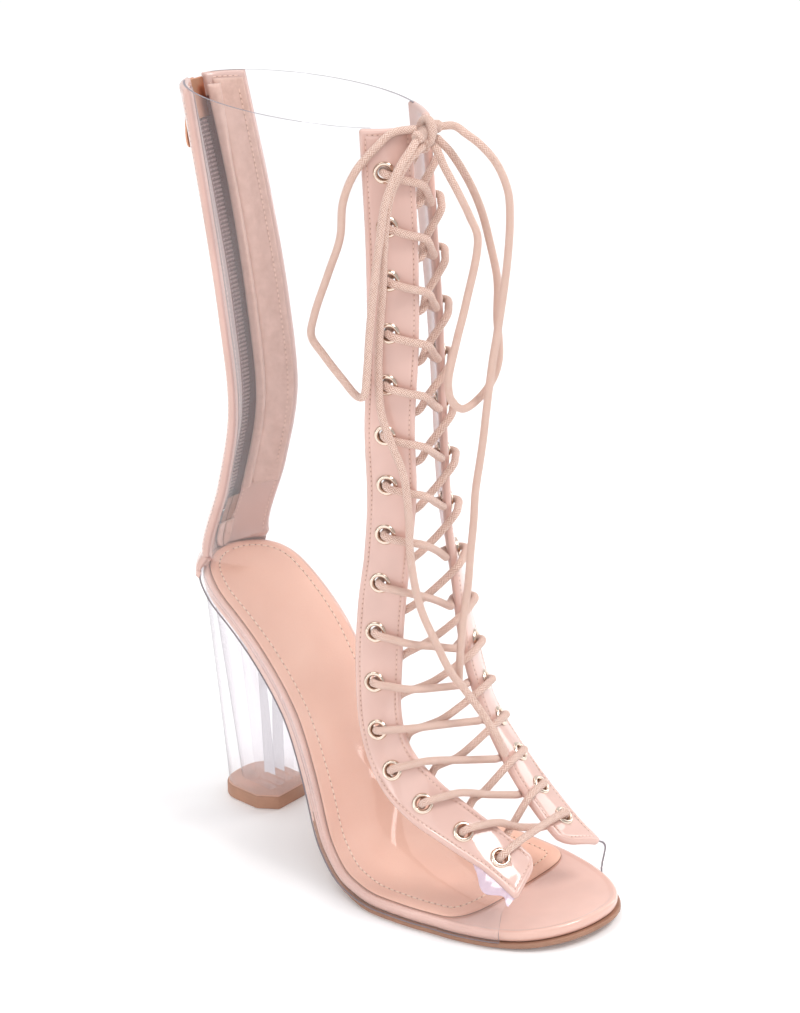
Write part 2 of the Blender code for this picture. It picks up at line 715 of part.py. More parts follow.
EYELET_PLACES = {side: eyelet_rows(side) for side in (-1, 1)}
TIPS = {side: places[0] for side, places in EYELET_PLACES.items()}
EYELETS = {side: places[1] for side, places in EYELET_PLACES.items()}


def sole_rows(count):
    """Row numbers whose feet share out the sole's edge from toe to heel, closer where it turns more."""
    rows = np.linspace(FRONT_ROW, HEEL_ROW, 300)
    feet = np.array([section(min(row, HEEL_ROW - 1e-6))["foot"][-1] for row in rows])
    runs = np.diff(feet, axis=0)
    steps = np.linalg.norm(runs, axis=1)
    turns = np.linalg.norm(np.diff(runs / steps[:, None], axis=0, append=[runs[-1] / steps[-1]]), axis=1)
    places = np.r_[0, np.cumsum(steps + TURN_WEIGHT * turns)]
    return [float(row) for row in np.interp(np.linspace(0, places[-1], count + 1), places, rows)]


def grid_lines():
    """Lines of the upper's grid from toe to collar: (row at the throat by side, row at the foot, eyelet number).

    Each eyelet's cell lies between two lines. Wide gaps between cells are split, and one line meets the
    heel's tip, where the sole ends and the back begins.
    """
    ends = {
        side: [FRONT_ROW, TIPS[side], *[edge for low, _, high in EYELETS[side] for edge in (low, high)], COLLAR_ROW]
        for side in (-1, 1)
    }
    middle = (np.array(ends[-1]) + np.array(ends[1])) / 2
    lines = []
    for i in range(len(middle) - 1):
        has_eyelet = i >= 2 and i % 2 == 0 and i // 2 <= EYELET_COUNT
        parts = 1 if has_eyelet else math.ceil((middle[i + 1] - middle[i]) / MOST_ROW_STEP)
        for part in range(parts):
            share = part / parts
            rows = {side: ends[side][i] + (ends[side][i + 1] - ends[side][i]) * share for side in (-1, 1)}
            foot = middle[i] + (middle[i + 1] - middle[i]) * share
            lines.append([rows, foot, i // 2 - 1 if has_eyelet else None])
    lines.append([{-1: COLLAR_ROW, 1: COLLAR_ROW}, float(COLLAR_ROW), None])
    heel_line = min(range(len(lines)), key=lambda i: abs(lines[i][1] - HEEL_ROW))
    for line, row in zip(lines, sole_rows(heel_line)):
        line[1] = row
    return lines, heel_line


LINES, HEEL_LINE = grid_lines()
ZIP_LINE = next(i for i, line in enumerate(LINES) if line[1] > ZIP_LOW_ROW)
FLAP_COLUMNS = (0.0, EYELET_INSET - EYELET_CELL, EYELET_INSET + EYELET_CELL, EYESTAY_WIDTH)
SIDE_SHARES = (0.25, 0.5, 0.75)
BACK_COLUMNS = (1.0, 0.78, 0.56, 0.36, ZIP_HALF / STRIP_WIDTH_LOW, 0.0)
CLEAR_COLUMN = 2
STRIP_COLUMN = len(FLAP_COLUMNS) + len(SIDE_SHARES)
SLIT_COLUMN = STRIP_COLUMN + 2
ZIP_COLUMN = STRIP_COLUMN + 4
FOOT_COLUMN = STRIP_COLUMN + 5
SKIRT_DEPTHS = (2.4, 4.7)


def grid_place(line, side, column):
    """Row number and distance along the section of a grid point."""
    rows, foot_row, _ = LINES[line]
    row = rows[side]
    if column < len(FLAP_COLUMNS):
        return row, section(row)["gap"][side] + FLAP_COLUMNS[column]
    if column < STRIP_COLUMN:
        share = SIDE_SHARES[column - len(FLAP_COLUMNS)] * strip_share(foot_row, side)
    else:
        back = BACK_COLUMNS[column - STRIP_COLUMN]
        share = 1.0 - back * (1.0 - strip_share(foot_row, side))
    row += (foot_row - row) * share
    start = section(row)["gap"][side] + EYESTAY_WIDTH
    return row, start + (reach(row, side) - start) * share


@functools.lru_cache(maxsize=None)
def strip_share(foot_row, side):
    """How far back from the eyestay the back strip's edge lies, as a share of the quarter's length."""
    row = max(foot_row, HEEL_ROW)
    width = STRIP_WIDTH_LOW + (STRIP_WIDTH_TOP - STRIP_WIDTH_LOW) * (row - HEEL_ROW) / (COLLAR_ROW - HEEL_ROW)
    return 1.0 - width / (reach(row, side) - section(row)["gap"][side] - EYESTAY_WIDTH)


def grid_point(line, side, column, offset, skirt=0.0):
    row, along = grid_place(line, side, column)
    return on_shell(row, side, along + skirt, offset)


def eyelet_axis(side, number):
    """Centre on the last, and the directions along the section, up the throat and outward."""
    row = EYELETS[side][number][1]
    along = section(row)["gap"][side] + EYELET_INSET
    centre = on_last(row, side, along)
    outward = surface_normal(row, side, along)
    across = on_last(row, side, along + 1) - on_last(row, side, along - 1)
    across /= np.linalg.norm(across)
    return centre, across, np.cross(outward, across), outward


def hole_ring(side, number, radius, offset):
    centre, across, up, outward = eyelet_axis(side, number)
    angles = (np.arange(EYELET_FACETS) + 0.5) * 2 * math.pi / EYELET_FACETS
    ring = np.outer(np.cos(angles), across) + np.outer(np.sin(angles), up)
    return centre + outward * offset + ring * radius


class Sheet:
    """Points of one side's grid on an inner and an outer layer, and the faces between them."""

    def __init__(self, side, inner, outer, seam=0.0):
        self.side, self.layers, self.seam = side, (inner, outer), seam
        self.index, self.low, self.high, self.faces = {}, [], [], []

    def add(self, key, low, high):
        if key not in self.index:
            self.index[key] = len(self.low)
            self.low.append(low)
            self.high.append(high)
        return self.index[key]

    def point(self, line, column, skirt=0.0):
        low, high = (grid_point(line, self.side, column, offset, skirt) for offset in self.layers)
        if column == FOOT_COLUMN and line >= HEEL_LINE:
            low[0] += self.side * self.seam
            high[0] += self.side * self.seam
        return self.add((line, column, skirt), low, high)

    def strip_row(self, line, first, next_first, last, next_last):
        """Faces between two lines that cover different columns, fanned out at the ends."""
        shared = range(max(first, next_first), min(last, next_last))
        for column in shared:
            self.quad(line, column)
        ends = ((first, next_first, -1), (last, next_last, 1))
        for here, there, step in ends:
            inner = max(here, there) if step < 0 else min(here, there)
            outer_line, still_line = (line, line + 1) if (here - there) * step > 0 else (line + 1, line)
            outer = here if outer_line == line else there
            for column in range(inner, outer, step):
                corners = ((outer_line, column), (outer_line, column + step), (still_line, inner))
                self.faces.append(tuple(self.point(*corner) for corner in corners))

    def quad(self, line, column):
        corners = ((line, column), (line, column + 1), (line + 1, column + 1), (line + 1, column))
        self.faces.append(tuple(self.point(*corner) for corner in corners))

    def holed_quad(self, line, column, number):
        """A cell with an eyelet's hole: each hole point joins the nearest corner."""
        corners = [(line, column), (line, column + 1), (line + 1, column + 1), (line + 1, column)]
        corners = [self.point(*corner) for corner in corners]
        rings = [hole_ring(self.side, number, EYELET_HOLE, offset) for offset in self.layers]
        hole = [self.add(("hole", number, i), rings[0][i], rings[1][i]) for i in range(EYELET_FACETS)]
        nearest = [min(corners, key=lambda c: np.linalg.norm(self.low[c] - self.low[h])) for h in hole]
        for i in range(EYELET_FACETS):
            j = (i + 1) % EYELET_FACETS
            face = [hole[i], nearest[i], nearest[j], hole[j]]
            self.faces.append(tuple(dict.fromkeys(face)))

    def skirt(self, line, depths):
        """Faces below the foot line between this line and the next."""
        for above, below in zip((0.0, *depths), depths):
            corners = ((line, above), (line + 1, above), (line + 1, below), (line, below))
            self.faces.append(tuple(self.point(at, FOOT_COLUMN, depth) for at, depth in corners))

    def parts(self):
        return self.low, self.high, self.faces


def make_upper():
    """Clear quarters and shaft. They start under the eyestays and leave a slit under the back strips."""
    sheets = []
    for side in (-1, 1):
        sheet = Sheet(side, *CLEAR_WALL)
        for line in range(len(LINES) - 1):
            first = 0 if line == 0 else CLEAR_COLUMN
            last = FOOT_COLUMN if line < ZIP_LINE - 1 else SLIT_COLUMN
            for column in range(first, last):
                sheet.quad(line, column)
            if line < HEEL_LINE:
                sheet.skirt(line, SKIRT_DEPTHS)
        sheets.append(sheet.parts())
    return sheet_solid("upper", sheets, "clear")


def make_eyestay(side):
    sheet = Sheet(side, OVERLAY_BASE, OVERLAY_BASE + EYESTAY_THICKNESS)
    for line in range(1, len(LINES) - 1):
        number = LINES[line][2]
        for column in range(len(FLAP_COLUMNS) - 1):
            if number is not None and column == 1:
                sheet.holed_quad(line, column, number)
            else:
                sheet.quad(line, column)
    return sheet_solid("eyestay_" + SIDE_NAMES[side], [sheet.parts()], "patent")


def make_back_strip(side):
    """Half of the back strip: down beside the zip, round the heel's tip and over the footbed's edge."""
    sheet = Sheet(side, OVERLAY_BASE, OVERLAY_BASE + STRIP_THICKNESS, seam=FIT_GAP / 2)
    firsts = {HEEL_LINE - 3: FOOT_COLUMN, HEEL_LINE - 2: STRIP_COLUMN + 3, HEEL_LINE - 1: STRIP_COLUMN + 1}
    for line in range(HEEL_LINE - 3, len(LINES) - 1):
        first, next_first = (firsts.get(at, STRIP_COLUMN) for at in (line, line + 1))
        last, next_last = (FOOT_COLUMN if at < ZIP_LINE else ZIP_COLUMN for at in (line, line + 1))
        sheet.strip_row(line, first, next_first, last, next_last)
        if line < HEEL_LINE:
            sheet.skirt(line, (STRIP_SKIRT,))
    return sheet_solid("back_strip_" + SIDE_NAMES[side], [sheet.parts()], "patent")


# ---------------------------------------------------------------- eyelets


def make_eyelet(side, number):
    """A flanged ring through the eyestay, its barrel open for the lace."""
    flange = OVERLAY_BASE + EYESTAY_THICKNESS + FIT_GAP
    profile = (
        (EYELET_BORE, EYELET_LOW),
        (EYELET_BORE, flange + EYELET_FLANGE_HEIGHT),
        (EYELET_FLANGE, flange),
        (EYELET_BARREL, flange),
        (EYELET_BARREL, EYELET_LOW),
    )
    rings = [hole_ring(side, number, radius, height) for radius, height in profile]
    points = np.concatenate(rings)
    faces = []
    for level in range(len(rings)):
        low, high = level * EYELET_FACETS, (level + 1) % len(rings) * EYELET_FACETS
        for i in range(EYELET_FACETS):
            j = (i + 1) % EYELET_FACETS
            faces.append((low + i, low + j, high + j, high + i))
    name = f"eyelet_{SIDE_NAMES[side]}_{number + 1:02d}"
    return add_object(name, points, faces, "gold")


# ---------------------------------------------------------------- zip


def back_frame(row):
    """Point on the last's back line, and the directions across, up and outward there."""
    point = on_last(row, 1, reach(row, 1))
    outward = surface_normal(row, -1, reach(row, -1)) + surface_normal(row, 1, reach(row, 1))
    outward[0] = 0.0
    outward /= np.linalg.norm(outward)
    across = np.array((1.0, 0.0, 0.0))
    return point, across, np.cross(across, outward), outward


def back_row(below_collar):
    """Row number at a distance down the back line from the collar."""
    rows = np.linspace(COLLAR_ROW, HEEL_ROW, 200)
    line = [back_frame(row)[0] for row in rows]
    lengths = np.r_[0, np.cumsum(np.linalg.norm(np.diff(line, axis=0), axis=1))]
    return float(np.interp(below_collar, lengths, rows))


def make_zip():
    tape, teeth = OVERLAY_BASE, OVERLAY_BASE + TAPE_THICKNESS
    profile = (
        (-TAPE_HALF, tape),
        (-TAPE_HALF, teeth),
        (-TEETH_HALF, teeth),
        (-TEETH_HALF, teeth + TEETH_HEIGHT),
        (TEETH_HALF, teeth + TEETH_HEIGHT),
        (TEETH_HALF, teeth),
        (TAPE_HALF, teeth),
        (TAPE_HALF, tape),
    )
    rows = [line[1] for line in LINES[ZIP_LINE:] if line[1] < back_row(ZIP_TOP_DROP + 4)]
    rings = []
    for row in [*rows, back_row(ZIP_TOP_DROP)]:
        point, across, _, outward = back_frame(row)
        rings.append([point + across * width + outward * height for width, height in profile])
    return ring_solid("zip", rings, "mauve", tip_at_start=False)


def extruded(name, outline, half_width, frame, finish):
    """A prism across the boot: an outline of (up, out) places in the frame, given a width."""
    origin, across, up, outward = frame
    flat = [origin + up * a + outward * b for a, b in outline]
    return prism(name, [[point + across * side * half_width for point in flat] for side in (-1, 1)], finish)


def slider_frame():
    point, across, up, outward = back_frame(back_row(SLIDER_DROP))
    return point + outward * (OVERLAY_BASE + TAPE_THICKNESS + TEETH_HEIGHT + FIT_GAP), across, up, outward


def pull_axis():
    origin, _, up, outward = slider_frame()
    return origin + up * PULL_UP + outward * (SLIDER_PLATE + PULL_LIFT)


def make_slider():
    """A clip round the top of the zip: an outer and an inner plate joined above the teeth, and a bridge."""
    frame = slider_frame()
    inside = -(TAPE_THICKNESS + TEETH_HEIGHT + 2 * FIT_GAP)
    half = SLIDER_HEIGHT / 2
    clip = (
        (-half, 0.0),
        (half - SLIDER_NECK, 0.0),
        (half - SLIDER_NECK, inside),
        (-half, inside),
        (-half, inside - SLIDER_PLATE),
        (half, inside - SLIDER_PLATE),
        (half, SLIDER_PLATE),
        (-half, SLIDER_PLATE),
    )
    slider = extruded("zip_slider", clip, SLIDER_WIDTH / 2, frame, "gold")
    top = SLIDER_PLATE + PULL_LIFT + BRIDGE_INSIDE
    reach_up = BRIDGE_INSIDE + BRIDGE_THICKNESS
    bridge = (
        (PULL_UP - reach_up, SLIDER_PLATE - 0.4),
        (PULL_UP - BRIDGE_INSIDE, SLIDER_PLATE - 0.4),
        (PULL_UP - BRIDGE_INSIDE, top),
        (PULL_UP + BRIDGE_INSIDE, top),
        (PULL_UP + BRIDGE_INSIDE, SLIDER_PLATE - 0.4),
        (PULL_UP + reach_up, SLIDER_PLATE - 0.4),
        (PULL_UP + reach_up, top + BRIDGE_THICKNESS),
        (PULL_UP - reach_up, top + BRIDGE_THICKNESS),
    )
    combine(slider, extruded("slider_bridge", bridge, BRIDGE_HALF, frame, "gold"), "UNION")


def make_pull():
    """The pull tab: a plate that hangs straight down from a bar under the slider's bridge."""
    axis = pull_axis()
    half, thick = PULL_WIDTH / 2, PULL_THICKNESS / 2
    outer = [(-half, thick), (half, thick)]
    outer += [(half * math.cos(a), -PULL_LENGTH + half - half * math.sin(a)) for a in np.linspace(0, math.pi, 9)]
    outer.append((-half, thick))
    low, high = -WINDOW_LENGTH, -thick
    window = ((-WINDOW_HALF, high), (WINDOW_HALF, high), (WINDOW_HALF, low), (-WINDOW_HALF, low))
    hang = (axis, np.array((0.0, 1.0, 0.0)), np.array((0.0, 0.0, 1.0)), np.array((1.0, 0.0, 0.0)))
    tab = extruded("zip_pull", [(z, x) for x, z in outer[:-1]], thick, hang, "gold")
    cut = extruded("pull_window", [(z, x) for x, z in window], PULL_THICKNESS, hang, "gold")
    combine(tab, cut, "DIFFERENCE")
    place_origin(tab, axis)

# ---------------------------------------------------------------- lace


def smooth_path(points, spacing):
    """Points read evenly from a smooth curve through the route."""
    points = np.asarray(points, float)
    runs = np.linalg.norm(np.diff(points, axis=0), axis=1)
    knots = np.r_[0, np.cumsum(np.sqrt(runs))]
    slopes = np.gradient(points, knots, axis=0)
    fine = []
    for i in range(len(points) - 1):
        width = knots[i + 1] - knots[i]
        for t in np.linspace(0, 1, 24, endpoint=False):
            low = (2 * t**3 - 3 * t**2 + 1) * points[i] + (t**3 - 2 * t**2 + t) * width * slopes[i]
            high = (3 * t**2 - 2 * t**3) * points[i + 1] + (t**3 - t**2) * width * slopes[i + 1]
            fine.append(low + high)
    fine = np.array([*fine, points[-1]])
    lengths = np.r_[0, np.cumsum(np.linalg.norm(np.diff(fine, axis=0), axis=1))]
    count = max(2, round(lengths[-1] / spacing) + 1)
    places = np.linspace(0, lengths[-1], count)
    return np.stack([np.interp(places, lengths, fine[:, axis]) for axis in range(3)], axis=1)


def tube(name, points, bevel_resolution):
    """A round lace along the points, closed at both ends."""
    curve = bpy.data.curves.new(name, "CURVE")
    curve.dimensions = "3D"
    curve.bevel_depth = LACE_RADIUS * MM
    curve.bevel_resolution = bevel_resolution
    curve.use_fill_caps = True
    spline = curve.splines.new("POLY")
    spline.points.add(len(points) - 1)
    for point, place in zip(spline.points, to_metres(points)):
        point.co = (*place, 1.0)
    curve.materials.append(material(name, "lace"))
    made = bpy.data.objects.new(name, curve)
    bpy.context.scene.collection.objects.link(made)
    return made


def beside_eyelet(side, number, inward, height, up=0.0):
    """A point by an eyelet: towards the throat along the last, up the throat and out from the last."""
    row = EYELETS[side][number][1]
    gap = section(row)["gap"][side]
    along = gap + EYELET_INSET - inward
    past = max(gap - along, 0.0)
    _, _, upward, _ = eyelet_axis(side, number)
    edge = on_shell(row, side, max(along, gap), height)
    run = on_shell(row, side, gap, height) - on_shell(row, side, gap + 1, height)
    return edge + run * past + upward * side * up


def throat_middle(number, height):
    """Where the strands above this eyelet pair cross, in front of the throat."""
    edges, outward = [], np.zeros(3)
    for side in (-1, 1):
        for at in (number, number + 1):
            centre, across, _, normal = eyelet_axis(side, at)
            edges.append(centre - across * EYELET_INSET)
            outward += normal
    outward /= np.linalg.norm(outward)
    return np.mean(edges, axis=0) + outward * height


def strand(side, number):
    """From below an eyelet, out under its flap, across the throat and over the other flap's next eyelet."""
    lift = STRAND_CROSS * side
    return [
        beside_eyelet(side, number, 0, STRAND_BELOW),
        beside_eyelet(side, number, 6, STRAND_BELOW),
        beside_eyelet(side, number, EYELET_INSET + 0.5, STRAND_UNDER, up=2.5),
        beside_eyelet(side, number, EYELET_INSET + 3.8, STRAND_UNDER + 1.5 + 0.4 * lift, up=4.5),
        throat_middle(number, STRAND_MIDDLE + lift),
        beside_eyelet(-side, number + 1, EYELET_INSET + 1.0, STRAND_OVER, up=-3.5),
        beside_eyelet(-side, number + 1, 6.5, STRAND_OVER + 0.6, up=-1.2),
        beside_eyelet(-side, number + 1, 1.6, STRAND_OVER + 1.2),
        beside_eyelet(-side, number + 1, 0, 4.6),
    ]


def make_lacing():
    """The lace below the knot: down one chain of crossings, across the bar by the toes and up the other."""
    chains = {}
    for start in (-1, 1):
        points, side = [], start
        for number in range(EYELET_COUNT - 1):
            points += strand(side, number)
            side = -side
        last = EYELET_COUNT - 1
        points.append(beside_eyelet(side, last, 0, STRAND_BELOW))
        points.append(beside_eyelet(side, last, 6, STRAND_BELOW))
        points.append(beside_eyelet(side, last, EYELET_INSET + 0.5, STRAND_UNDER, up=2.0))
        chains[start] = [*points, *KNOT_TAILS[side]]
    bar = [beside_eyelet(side, 0, inward, height) for side, inward, height in BAR]
    return tube("lacing", [*chains[-1][::-1], *bar, *chains[1]], 1)


def make_knot():
    """The bow's knot: a small lump with a band round its middle."""
    points, faces = [], []
    for i in range(1, KNOT_RINGS):
        share = math.pi * i / KNOT_RINGS
        for j in range(KNOT_FACETS):
            angle = 2 * math.pi * j / KNOT_FACETS
            round_way = (math.cos(share), math.sin(share) * math.cos(angle), math.sin(share) * math.sin(angle))
            points.append(np.array(KNOT_CENTRE) + np.array(KNOT_RADII) * round_way)
    for i in range(KNOT_RINGS - 2):
        for j in range(KNOT_FACETS):
            k = (j + 1) % KNOT_FACETS
            low, high = i * KNOT_FACETS, (i + 1) * KNOT_FACETS
            faces.append((low + j, low + k, high + k, high + j))
    faces += [tuple(range(KNOT_FACETS)), tuple(range(len(points) - 1, len(points) - 1 - KNOT_FACETS, -1))]
    return add_object("lace_knot", points, faces, "lace")


def make_bow():
    make_knot()
    for name, route in BOW_ROUTES.items():
        tube(name, smooth_path(route, LACE_SPACING), 2)


make_footbed()
make_outsole()
make_sock()
make_heel()
make_lift()
make_upper()
for side in (-1, 1):
    make_eyestay(side)
    make_back_strip(side)
    for number in range(EYELET_COUNT):
        make_eyelet(side, number)
make_zip()
make_slider()
make_pull()
make_lacing()
make_bow()
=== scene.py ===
"""Heeled lace-up boot for the right foot, dressed for rendering.

Lengths are in millimetres in the last's own frame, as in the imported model: the toe points along -Y, the
lateral side is -X and the floor is z = 0. They become metres when a mesh is made.
"""

import collections
import functools
import json
import math

import bpy
import numpy as np
from mathutils import Matrix, Vector

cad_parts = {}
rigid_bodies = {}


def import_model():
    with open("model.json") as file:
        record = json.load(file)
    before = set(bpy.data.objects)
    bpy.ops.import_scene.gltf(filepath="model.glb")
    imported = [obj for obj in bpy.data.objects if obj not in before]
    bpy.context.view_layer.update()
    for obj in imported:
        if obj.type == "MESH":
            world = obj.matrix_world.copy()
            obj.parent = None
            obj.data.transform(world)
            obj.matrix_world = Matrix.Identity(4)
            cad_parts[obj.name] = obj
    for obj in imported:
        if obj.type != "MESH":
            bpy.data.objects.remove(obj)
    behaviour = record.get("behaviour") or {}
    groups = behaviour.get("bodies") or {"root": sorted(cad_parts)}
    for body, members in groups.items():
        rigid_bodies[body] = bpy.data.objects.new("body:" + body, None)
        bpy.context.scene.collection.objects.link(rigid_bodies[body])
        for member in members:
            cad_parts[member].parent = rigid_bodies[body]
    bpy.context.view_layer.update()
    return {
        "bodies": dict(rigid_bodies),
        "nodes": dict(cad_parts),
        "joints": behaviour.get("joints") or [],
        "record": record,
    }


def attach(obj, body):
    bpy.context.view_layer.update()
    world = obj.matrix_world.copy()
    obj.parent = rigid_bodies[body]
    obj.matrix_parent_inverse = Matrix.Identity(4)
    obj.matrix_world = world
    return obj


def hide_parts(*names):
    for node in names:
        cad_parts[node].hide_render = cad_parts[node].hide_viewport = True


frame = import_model()

MM = 0.001
CENTRE = np.array((-4.47, -87.67, 0.0))

# ---------------------------------------------------------------- sizes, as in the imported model

FIT_GAP = 0.3

# Sole stack, measured along the normal of the footbed's top.
FOOTBED_THICKNESS = 5.0
OUTSOLE_THICKNESS = 2.5
SOCK_THICKNESS = 0.9
OUTSOLE_TOP = -(FOOTBED_THICKNESS + FIT_GAP)
OUTSOLE_BOTTOM = OUTSOLE_TOP - OUTSOLE_THICKNESS
# The outsole stands out round the forefoot and draws in under the arch: (y, margin).
OUTSOLE_MARGINS = ((-125, 1.8), (-100, 0.2), (-80, -1.0))
SOCK_INSET = 2.6
FLAT_TOP = -OUTSOLE_BOTTOM

# Ends of the outline: where each round end stops and how far it reaches in.
HEEL_END = 14.0
HEEL_ROUND = 24.0
TOE_END = -200.0
TOE_ROUND = 52.0
TOE_TIP_X = 6.0
HEEL_TIP_X = -1.5
SOCK_END = -161.5
SOCK_ROUND = 22.0
SOCK_TOE_POWER = 4.0
BREAST_Y = -29.0
OUTSOLE_START = BREAST_Y - 2.2
HEEL_POWER = 2.15
SOLE_STATIONS = tuple(range(-15, -148, -6))
FINE_ROUND = 23
COARSE_ROUND = 8

# Clear heel and its top lift.
LIFT_HEIGHT = 6.5
LIFT_X = 0.5
LIFT_HALF_WIDTH = 14.8
LIFT_BACK = 8.0
LIFT_FRONT = -25.0
LIFT_ROUND = 12.0
LIFT_CHAMFER = 8.5
HEEL_INSET = 0.8
HEEL_SIDE_WALL = 4.6
HEEL_BREAST_WALL = 3.4
HEEL_BACK_WALL = 5.5
HEEL_FLOOR = 3.0
SEAT_HALF_WIDTH = 26.0
POCKET_SLOTS = 4
POCKET_RIB = 0.16
POCKET_RIB_REACH = 0.55
POCKET_CURVE = 0.6

# Footbed's top edge seen from the side: (y, z).
PROFILE = (
    (-200, FLAT_TOP + 3.6), (-178, FLAT_TOP + 0.8), (-160, FLAT_TOP), (-118, FLAT_TOP), (-101, 9.4),
    (-86, 17.0), (-73, 35.0), (-60, 57.0), (-45, 79.0), (-28, 96.5), (-10, 109.0), (4, 115.5), (14, 118.5),
)

# Footbed's outline seen from above, before its ends are rounded: (y, lateral x, medial x).
OUTLINE = (
    (-200, -40.0, 38.0), (-170, -40.0, 38.0), (-150, -42.5, 38.0), (-132, -46.0, 38.0), (-115, -47.5, 36.0),
    (-98, -45.0, 32.0), (-82, -39.5, 28.0), (-66, -32.0, 25.5), (-52, -28.5, 25.0), (-35, -28.5, 27.0),
    (-15, -28.0, 27.5), (0, -25.5, 27.0), (14, -24.0, 25.0),
)

# Sections of the last, fanned from the toe to the collar. Each runs from the ridge in front to the sole
# or, in the shaft, to the back. On the sole the two bulges are measured out from the footbed's edge.
# (name, ridge y, ridge z, foot y, foot z, ridge x, foot x, lateral, medial, share of the height that is
# widest, the throat's half gaps)
SECTIONS = (
    ("toe edge", -186, 25, -182, None, 2, None, -1.0, 1.0, 0.45, 12, 5),
    ("toes", -168, 36, -164, None, 1, None, -1.5, 1.5, 0.42, 13, 5),
    ("ball", -151, 51, -140, None, 0, None, -2.0, 2.5, 0.38, 19.5, 6),
    ("vamp", -138, 69, -110, None, -2, None, -2.0, 4.0, 0.36, 26.5, 7.5),
    ("instep", -128, 90, -78, None, -3, None, -3.5, 7.0, 0.40, 30, 7.5),
    ("waist", -121, 112, -42, None, -3, None, -8.0, 9.0, 0.46, 22.5, 7),
    ("low ankle", -117, 135, -8, None, -3, None, -8.0, 8.0, 0.48, 17, 8),
    ("heel", -115, 159, 14, 118.5, -5, -1.5, -33.0, 31.0, 0.50, 11, 10),
    ("ankle", -114, 184, 4, 156, -5, 0, -30.0, 28.0, 0.50, 8, 11),
    ("low shaft", -112, 214, -3, 194, -5, 1.5, -29.0, 28.0, 0.50, 7, 12),
    ("mid shaft", -110, 250, 2, 240, -4, 2, -29.0, 28.5, 0.50, 4.5, 13),
    ("top shaft", -106, 290, 10, 284, -2, 1.5, -28.0, 30.0, 0.50, 3, 15),
    ("collar", -100, 335, 21, 333, 1, 0.5, -25.5, 32.0, 0.50, 2.5, 16),
)
HEEL_ROW = 7
COLLAR_ROW = len(SECTIONS) - 1
FRONT_ROW = 0.4
ARCH_STEPS = 120
MOST_ROW_STEP = 0.36
TURN_WEIGHT = 30.0
HUG_POWER = 2.5
# How pointed the front of a section is on each side: (row, power).
FRONT_POWERS = {-1: ((0, 0.95), (12, 0.95)), 1: ((6, 0.95), (8, 1.08), (11, 1.15), (12, 1.1))}
SIDE_NAMES = {-1: "lateral", 1: "medial"}

# Layers of the upper, measured out from the last.
CLEAR_WALL = (FIT_GAP, FIT_GAP + 1.0)
SKIRT_CLEARANCE = 0.5
OVERLAY_BASE = CLEAR_WALL[1] + FIT_GAP
EYESTAY_THICKNESS = 1.6
STRIP_THICKNESS = 1.4

# Eyestays and eyelets, measured back from the throat's edge.
EYESTAY_WIDTH = 20.2
EYELET_INSET = 11.5
EYELET_COUNT = 16
EYELET_CELL = 4.4
EYELET_FLANGE = 4.5
EYELET_TOP_DROP = {-1: 17.5, 1: 15.0}
TOE_PITCHES = {-1: (19.0, 20.5, 19.0, 18.5, 20.5, 21.5), 1: (16.5, 17.0, 17.5, 17.5, 18.5, 19.5)}
SHAFT_PITCH = 21.8
TIP_REACH = 10.5

# Back strips and zip, measured from the back's middle line.
STRIP_WIDTH_LOW = 24.0
STRIP_WIDTH_TOP = 22.5
ZIP_HALF = 4.5
ZIP_LOW_ROW = 7.35
TAPE_THICKNESS = 0.8
TEETH_HEIGHT = 0.8
ZIP_TOP_DROP = 10.0
SLIDER_DROP = 7.5
SLIDER_HEIGHT = 12.0
SLIDER_NECK = 3.0
SLIDER_PLATE = 1.3
BRIDGE_HALF = 1.1
BRIDGE_INSIDE = 1.2
BRIDGE_THICKNESS = 0.9
PULL_UP = -1.0
PULL_LIFT = 1.0
PULL_WIDTH = 6.2
PULL_LENGTH = 23.0
PULL_THICKNESS = 1.1
WINDOW_HALF = 1.6
WINDOW_LENGTH = 4.4
STRIP_SKIRT = 4.2

# Lace. Heights are out from the last; the bow's routes run from the knot, in the last's frame.
LACE_RADIUS = 1.65
STRAND_BELOW = -2.6
STRAND_OVER = 5.4
STRAND_UNDER = -1.05
